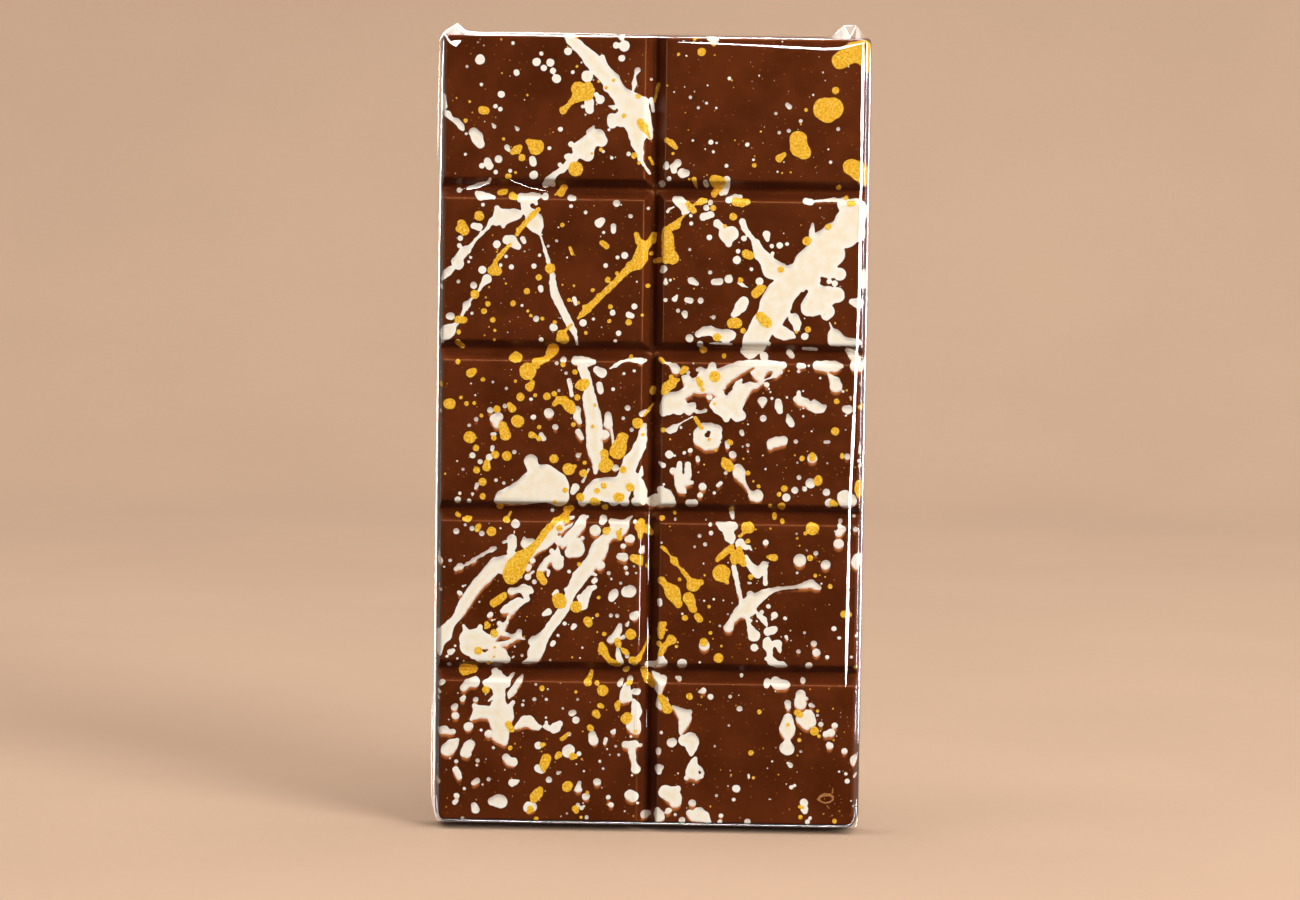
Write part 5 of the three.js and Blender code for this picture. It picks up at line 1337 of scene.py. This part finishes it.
class TABLET_OT_film(bpy.types.Operator):
    """Wrap the tablet in clear film"""

    bl_idname = "tablet.film"
    bl_label = "Film"

    SIDE_GAP = 0.45
    BACK_GAP = 0.3
    BACK_ROUND = 0.4  # how far the back's outline is drawn in
    FOOT_GAP = 0.2  # more of it below the tablet, down to the floor
    FOOT_TUCK = 0.2  # how far it draws up first, right below the faces
    TOP_DROP = 0.2  # less of it above the tablet
    GRID = 1.2  # widest spacing of the grid's lines, and the finer lines along the edges: from, to or count, step
    SIDE_LINES, TOP_LINES, FOOT_LINES = (39.1, 10, 0.11), (147.0, 150.5, 0.12), (-0.4, 0.9, 0.12)
    # How far the film sinks into the upright groove, how much more in its lower part, and into the level ones.
    UPRIGHT_SAG, LOWER_SAG, LEVEL_SAG = 0.15, 0.14, 0.32
    DULL_LEFT = 0.92  # how much of the mirror its left wall loses
    SEAM_INSET = 2.0  # from the seam's ends to the ends of the faces
    SEAM_OUTER, SEAM_INNER, SEAM_LIFT = 0.42, 0.25, 0.14  # its two sides behind the chocolate, and its free edge's rise
    # The two upper ears: (across, above the tablet) along the rim, and pleats (foot and rim across, deep, how
    # milk-white, partly as painted reflection).
    LEFT_RIM = ((-40.8, -1.1), (-39.85, 0.3), (-37.75, 2.15), (-36.0, 0.6), (-32.9, 0.35), (-24.0, 0.3), (-14.0, 0.1))
    LEFT_PLEATS = (
        (-40.8, -40.8, 0.2, 0.2), (-39.8, -39.6, 0.1, 0.6), (-38.6, -38.2, -0.2, 0.85), (-37.2, -37.85, 0.1, 0.9),
        (-36.9, -37.7, 0.1, 0.45), (-36.5, -37.5, 0.0, 0.8), (-35.7, -36.9, -0.1, 0.75), (-34.0, -35.0, 0.0, 0.5),
        (-30.0, -30.0, 0.0, 0.3), (-14.0, -14.0, 0.0, 0.1),
    )
    RIGHT_RIM = ((31.0, 0.05), (32.8, 0.25), (35.45, 2.62), (37.6, 2.65), (40.4, -0.3))
    RIGHT_PLEATS = (
        (31.0, 31.0, 0.0, 0.0), (32.8, 33.5, 0.0, 0.25), (34.6, 34.6, 0.08, 0.75), (35.3, 35.0, -0.05, 0.9),
        (36.3, 35.3, 0.0, 0.85), (36.5, 35.55, 0.1, 0.3), (36.55, 37.4, 0.1, 0.3), (36.75, 37.55, 0.05, 0.0),
        (37.4, 37.65, 0.0, 0.0), (37.6, 37.75, -0.1, 0.6), (38.2, 37.95, -0.1, 0.6), (38.9, 38.2, 0.0, 0.15),
        (39.6, 38.6, 0.0, 0.0), (40.4, 40.4, 0.1, 0.0),
    )
    EAR_DEEP = 2.6
    EAR_STEP, EAR_ROWS = 0.12, 7  # of its grid, across and up
    EAR_TIP, EAR_SPREAD = 0.12, 0.3  # half its thickness at the tip, and how much more at the foot
    EAR_STRAIGHTENS = 0.35  # how much of its folds is lost at the tip
    # Ways in which a crease leans back, and so which of the lights it mirrors.
    TO_RIGHT, TO_LEFT, TO_TOP = (0.41, 0.0), (-0.53, 0.0), (0.0, 0.47)
    # Creases of the film: (width, depth, lean, path across and up).
    CREASES = (
        (
            0.46, -0.55, TO_RIGHT,
            ((39.0, 149.2), (39.05, 104.0), (38.8, 92.0), (38.3, 75.0), (37.9, 62.0), (37.8, 45.0), (37.7, 27.0)),
        ),
        (0.16, 0.1, TO_RIGHT, ((40.35, 148.5), (40.4, 110.0), (40.3, 60.0), (40.25, 4.0))),
        (
            0.2, 0.0, TO_LEFT,
            ((-40.5, 6.0), (-40.5, 30.0), (-40.45, 70.0), (-40.3, 110.0), (-40.0, 143.0), (-39.8, 149.0)),
        ),
        (0.07, 1.5, TO_LEFT, ((-40.85, 126.0), (-40.8, 138.0), (-40.6, 148.0))),
        (0.07, 1.5, TO_LEFT, ((-40.9, 1.5), (-41.1, 12.0), (-41.0, 24.0))),
        (0.16, 0.2, TO_TOP, ((-36.0, 149.98), (-20.0, 150.0), (2.0, 150.0))),
        (0.1, 0.2, TO_TOP, ((4.0, 150.0), (20.0, 150.05), (33.0, 150.0))),
        (0.1, 1.5, TO_TOP, ((-35.0, 150.4), (-20.0, 150.45), (-6.0, 150.4))),
        (0.2, -0.5, TO_TOP, ((4.0, 149.1), (15.0, 148.8), (25.0, 148.4), (31.8, 148.13), (34.5, 148.3))),
        (0.34, -0.5, TO_TOP, ((20.0, 148.6), (31.8, 148.13), (34.5, 148.3), (37.2, 149.0), (39.3, 149.4))),
        (0.13, 0.6, TO_TOP, ((-40.75, 148.7), (-39.85, 150.2), (-37.75, 152.1))),
        (0.13, 2.0, TO_TOP, ((-37.8, 152.1), (-36.8, 151.15), (-36.0, 150.55), (-33.0, 150.3))),
        (0.1, 1.6, TO_TOP, ((-37.7, 151.7), (-37.1, 150.8), (-36.3, 150.3))),
        (0.17, 0.4, TO_TOP, ((-39.95, 150.3), (-39.2, 149.4), (-38.8, 148.5), (-38.05, 147.85), (-37.3, 148.1))),
        (0.65, -0.6, TO_TOP, ((-38.6, 148.45), (-37.8, 148.5), (-37.0, 148.8))),
        (0.12, 2.4, TO_TOP, ((35.4, 152.55), (35.95, 151.4), (36.45, 150.2))),
        (0.12, 1.4, TO_TOP, ((36.45, 150.2), (37.0, 151.35), (37.6, 152.6))),
        (0.05, 1.0, TO_TOP, ((33.4, 150.8), (35.42, 152.58), (37.6, 152.6))),
        (0.14, -0.4, TO_RIGHT, ((39.7, 142.0), (39.72, 147.0), (39.6, 149.0))),
        (0.07, 0.1, TO_RIGHT, ((-0.25, 61.0), (-0.3, 46.0))),
        (0.08, 0.1, TO_RIGHT, ((-0.2, 40.0), (-0.25, 27.0))),
        (0.07, 0.1, TO_RIGHT, ((-1.8, 58.0), (-1.85, 34.0))),
        (0.06, 0.1, TO_RIGHT, ((-0.25, 22.0), (-0.2, 3.0))),
        (0.1, 0.2, TO_TOP, ((-36.5, 120.7), (-33.4, 121.1), (-31.2, 122.2))),
        (0.08, 0.2, TO_TOP, ((-27.8, 122.8), (-23.6, 121.3), (-20.2, 120.7))),
        (0.06, -0.5, (0.0, 0.54), ((-38.6, 0.0), (-20.0, -0.1), (0.0, -0.05), (20.0, -0.1), (38.4, -0.05))),
        (0.07, 1.3, TO_LEFT, ((-40.55, 6.0), (-40.5, 2.2), (-40.25, 1.1), (-39.95, 0.0), (-39.2, -0.75))),
        (0.06, -0.1, TO_LEFT, ((-40.0, 5.0), (-39.9, 2.9), (-39.65, 1.2), (-39.3, 0.3), (-38.6, -0.05))),
        (0.06, 1.0, (0.41, 0.15), ((40.2, 5.5), (40.13, 2.95), (40.35, 1.5), (40.3, 0.4), (40.0, -0.25), (39.5, -0.5))),
        (0.05, 0.9, (0.0, 0.54), ((40.0, 2.8), (39.75, 1.4), (39.2, 0.5), (38.4, 0.1))),
    )

    def execute(self, context):
        tablet = Tablet(context.scene.tablet_sizes)
        sizes = context.scene.tablet_film
        gap, radius = sizes.gap / MM, sizes.fold_round / MM
        lean, side_gap = tablet.draft / tablet.thick, self.SIDE_GAP

        def lowered(z):
            """Brings the lower edge down to the floor and draws the upper one in."""
            tuck = self.FOOT_TUCK
            raised = z + tuck * smooth_step(0.0, -0.4, z) - (self.FOOT_GAP + tuck) * smooth_step(-0.5, -1.5, z)
            return raised - self.TOP_DROP * smooth_step(146.0, 150.0, z)

        def front(x, z):
            side = tablet.wall(tablet.outside(x, z, side_gap), radius, lean)
            return tablet.place(x, lowered(z), np.maximum(self.sag(tablet, x, z), side) - gap)

        def back(x, z):
            return tablet.place(x, lowered(z), tablet.thick + self.BACK_GAP)

        def bend(x, z):
            return tablet.round_corners(x, z, side_gap)

        half, grid = tablet.half_width + side_gap, self.GRID
        xs = tablet.grid_lines(-half, half, tablet.grooves_x, grid)
        zs = tablet.grid_lines(-side_gap, tablet.length + side_gap, tablet.grooves_z, grid)
        first, count, step = self.SIDE_LINES
        xs = np.unique(np.concatenate([xs, [s * (first + step * k) for s in (-1, 1) for k in range(count)]]))
        zs = np.unique(np.concatenate([zs, np.arange(*self.TOP_LINES), np.arange(*self.FOOT_LINES)]))
        film = join("film", [shell(xs, zs, bend, front, back, self.BACK_ROUND), self.seam(tablet, sizes)])
        piece = finish_piece("film", film, film_material("clear_wrap_film", self.DULL_LEFT))
        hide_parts(WRAP_NODE)

        strips = [ribbon(tablet, path, width, depth, tilt) for width, depth, tilt, path in self.CREASES]
        creases = join("film_creases", strips)
        finish_piece("film_creases", creases, film_material("creased_film"), smooth=False)

        flaps = ((self.LEFT_RIM, self.LEFT_PLEATS), (self.RIGHT_RIM, self.RIGHT_PLEATS))
        sheets, milk_and_glint = zip(*(self.ear(tablet, np.array(rim), np.array(pleats)) for rim, pleats in flaps))
        ears = join("film_ears", sheets)
        # the ears' facets carry painted reflection as milk-white
        write_attribute(ears, "milk_and_glint", np.concatenate(milk_and_glint))
        finish_piece("film_ears", ears, crinkled_film_material(), smooth=False)
        return {"FINISHED"}

    def sag(self, tablet, x, z):
        """How far the film sinks into the grooves, unevenly along them."""
        half = tablet.groove / 2
        sag = np.zeros(np.shape(x))
        for middle in tablet.grooves_x:
            deep = self.UPRIGHT_SAG + (self.LOWER_SAG + 0.05 * np.sin(z / 2.3)) * smooth_step(72.0, 58.0, z)
            sag = sag + deep * bell((x - middle) / half)
        for middle in tablet.grooves_z:
            deep = self.LEVEL_SAG + 0.1 * np.sin(x / 1.7 + middle) * np.sin(x / 4.1 + middle)
            sag = np.maximum(sag, deep * bell((z - middle) / half))
        return sag

    def seam(self, tablet, sizes):
        """The lap seam down the back, its free edge a little lifted."""
        half = sizes.seam_width / MM / 2
        heights = np.linspace(self.SEAM_INSET, tablet.length - self.SEAM_INSET, 60)
        x, z = np.meshgrid(np.linspace(half, -half, 9), heights)
        x = x + 0.12 * np.sin(z / 7.0) * (x / half)
        lift = self.SEAM_LIFT * smooth_step(0.55 * half, half, x) * (1 + 0.5 * np.sin(z / 4.3))
        outer = tablet.place(x, z, tablet.thick + self.SEAM_OUTER + lift)
        inner = tablet.place(x, z, tablet.thick + self.SEAM_INNER)
        return skin(outer, inner)

    def ear(self, tablet, rim, pleats):
        """A pinched, pleated flap of film over an upper corner, and how milk-white each of its points is, partly as
        painted reflection on the pleats.
        """
        across = np.unique(np.concatenate([np.arange(rim[0, 0], rim[-1, 0], self.EAR_STEP), rim[:, 0]]))
        above = np.interp(across, rim[:, 0], rim[:, 1])
        fold = np.interp(across, pleats[:, 0], pleats[:, 2])
        rise = np.linspace(0, 1, self.EAR_ROWS)[:, None]
        z = tablet.length + rise * (above + 0.02)
        x = np.broadcast_to(across, z.shape)
        deep = self.EAR_DEEP + fold * (1 - self.EAR_STRAIGHTENS * rise)
        thick = self.EAR_TIP + self.EAR_SPREAD * (1 - rise)
        high = np.clip((z - tablet.length) / rim[:, 1].max(), 0, 1)[..., None]
        seams = pleats[:, 0] * (1 - high) + pleats[:, 1] * high
        milk_and_glint = np.array([[np.interp(a, s, pleats[:, 3]) for a, s in zip(*row)] for row in zip(x, seams)])
        sheet = skin(tablet.place(x, z, deep - thick), tablet.place(x, z, deep + thick))
        return sheet, np.tile(milk_and_glint.ravel(), 2)


class TABLET_OT_stage(bpy.types.Operator):
    """Set up the backdrop, the lights and the camera"""

    bl_idname = "tablet.stage"
    bl_label = "Stage"

    # The backdrop in metres: half its width, its near edge, where it starts to curve up, the curve, its upper edge.
    HALF_SPAN, NEAR, FAR, CURVE, UPPER = 1.6, -1.3, 0.55, 0.35, 1.9
    ROOM, DIM = 0.4, 0.06  # the room's light, and its share in the dark
    ROOM_COLOUR = (1.0, 0.86, 0.72)
    CAMERA_PLACE, CAMERA_LENS, SENSOR = (0.01531, -0.89582, 0.15834), 130.4, 36.0
    CAMERA_FORWARD, CAMERA_UP = (-0.01737, 0.99535, -0.09469), (-0.01446, 0.09445, 0.99542)

    def execute(self, context):
        self.backdrop(context)
        self.lights(context)
        self.camera(context)
        context.scene.view_settings.view_transform = "Standard"
        return {"FINISHED"}

    def backdrop(self, context):
        """A floor that curves up into a wall."""
        turn = np.linspace(0, math.pi / 2, 24)
        y = np.concatenate([[self.NEAR], self.FAR + self.CURVE * np.sin(turn), [self.FAR + self.CURVE]])
        z = np.concatenate([[0.0], self.CURVE * (1 - np.cos(turn)), [self.UPPER]])
        n = len(y)
        verts = [(side * self.HALF_SPAN, a, b) for side in (-1, 1) for a, b in zip(y, z)]
        mesh = bpy.data.meshes.new("backdrop")
        mesh.from_pydata(verts, [], [(k, k + n, k + n + 1, k + 1) for k in range(n - 1)])
        mesh.materials.append(backdrop_material(context.scene.tablet_colours))
        mesh.shade_smooth()
        piece = bpy.data.objects.new("backdrop", mesh)
        context.scene.collection.objects.link(piece)
        piece.visible_diffuse = piece.visible_glossy = False  # no glow from the paper in the dark of the grooves

    def softbox(self, context, name, place, aim, size, power, colour=WHITE, strip=False):
        """A rectangular light. A strip shows in reflections only."""
        light = bpy.data.lights.new(name, "AREA")
        light.shape, light.size, light.size_y = "RECTANGLE", size[0], size[1]
        light.energy, light.color = power, colour
        lamp = bpy.data.objects.new(name, light)
        lamp.location = place
        lamp.rotation_euler = (Vector(aim) - Vector(place)).to_track_quat("-Z", "Y").to_euler()
        lamp.visible_diffuse = not strip
        context.scene.collection.objects.link(lamp)

    def lights(self, context):
        middle = tuple((low + high) / 2 for low, high in zip(*CAD_BOX))
        self.softbox(context, "key", (1.1, -1.1, 0.8), middle, (0.7, 0.9), 36.0, (1.0, 0.965, 0.9))
        self.softbox(context, "top", (0.0, 0.0, 1.6), (0.0, -0.1, 0.0), (2.4, 1.2), 42.0, (1.0, 0.97, 0.94))
        self.softbox(context, "right_strip", (0.75, -0.75, 0.2), middle, (0.32, 0.7), 24.0, strip=True)
        self.softbox(context, "left_strip", (-0.9, -0.6, 0.2), middle, (0.3, 0.8), 20.0, strip=True)
        self.softbox(context, "top_strip", (0.15, -0.6, 0.75), middle, (0.8, 0.25), 20.0, strip=True)
        self.world(context)

    def world(self, context):
        """A pale room that is dark below and behind the camera, so that the faces stay deep in colour."""
        world = bpy.data.worlds.new("studio")
        world.use_nodes = True
        tree = world.node_tree
        tree.nodes.clear()
        _, ahead, height = split_vector(tree, add_node(tree, "ShaderNodeTexCoord", output=0))
        light = ahead.ramp(-0.95, -0.6) * height.ramp(-1.0, 0.3) * (1 - self.DIM) + self.DIM
        settings = {"Color": rgba(self.ROOM_COLOUR), "Strength": light * self.ROOM}
        show(tree, add_node(tree, "ShaderNodeBackground", None, settings), "ShaderNodeOutputWorld")
        context.scene.world = world

    def camera(self, context):
        data = bpy.data.cameras.new("camera")
        data.lens, data.sensor_width, data.clip_end = self.CAMERA_LENS, self.SENSOR, 10.0
        forward = Vector(self.CAMERA_FORWARD).normalized()
        right = forward.cross(Vector(self.CAMERA_UP)).normalized()
        up = right.cross(forward)
        turn = Matrix((right, up, -forward)).transposed()
        camera = bpy.data.objects.new("camera", data)
        camera.matrix_world = Matrix.Translation(self.CAMERA_PLACE) @ turn.to_4x4()
        context.scene.collection.objects.link(camera)
        context.scene.camera = camera


class TABLET_PT_panel(bpy.types.Panel):
    """The tablet's steps and sizes"""

    bl_label = "Chocolate tablet"
    bl_idname = "TABLET_PT_panel"
    bl_space_type = "VIEW_3D"
    bl_region_type = "UI"
    bl_category = "Tablet"

    def draw(self, context):
        for step in STEPS:
            self.layout.operator(step.bl_idname)
        for group in GROUPS:
            box = self.layout.box()
            for name in GROUPS[group].__annotations__:
                box.prop(getattr(context.scene, group), name)


STEPS = (TABLET_OT_chocolate, TABLET_OT_splashes, TABLET_OT_mist, TABLET_OT_film, TABLET_OT_stage)
GROUPS = {
    "tablet_sizes": TabletSizes,
    "tablet_splash": SplashSizes,
    "tablet_film": FilmSizes,
    "tablet_colours": TabletColours,
}


def register():
    for group in (*GROUPS.values(), *STEPS, TABLET_PT_panel):
        bpy.utils.register_class(group)
    for name, group in GROUPS.items():
        setattr(bpy.types.Scene, name, PointerProperty(type=group))


def unregister():
    for name in GROUPS:
        delattr(bpy.types.Scene, name)
    for group in reversed((*GROUPS.values(), *STEPS, TABLET_PT_panel)):
        bpy.utils.unregister_class(group)


def main():
    register()
    bpy.ops.tablet.chocolate()
    bpy.ops.tablet.splashes()
    bpy.ops.tablet.mist()
    bpy.ops.tablet.film()
    bpy.ops.tablet.stage()


if __name__ == "__main__":
    main()
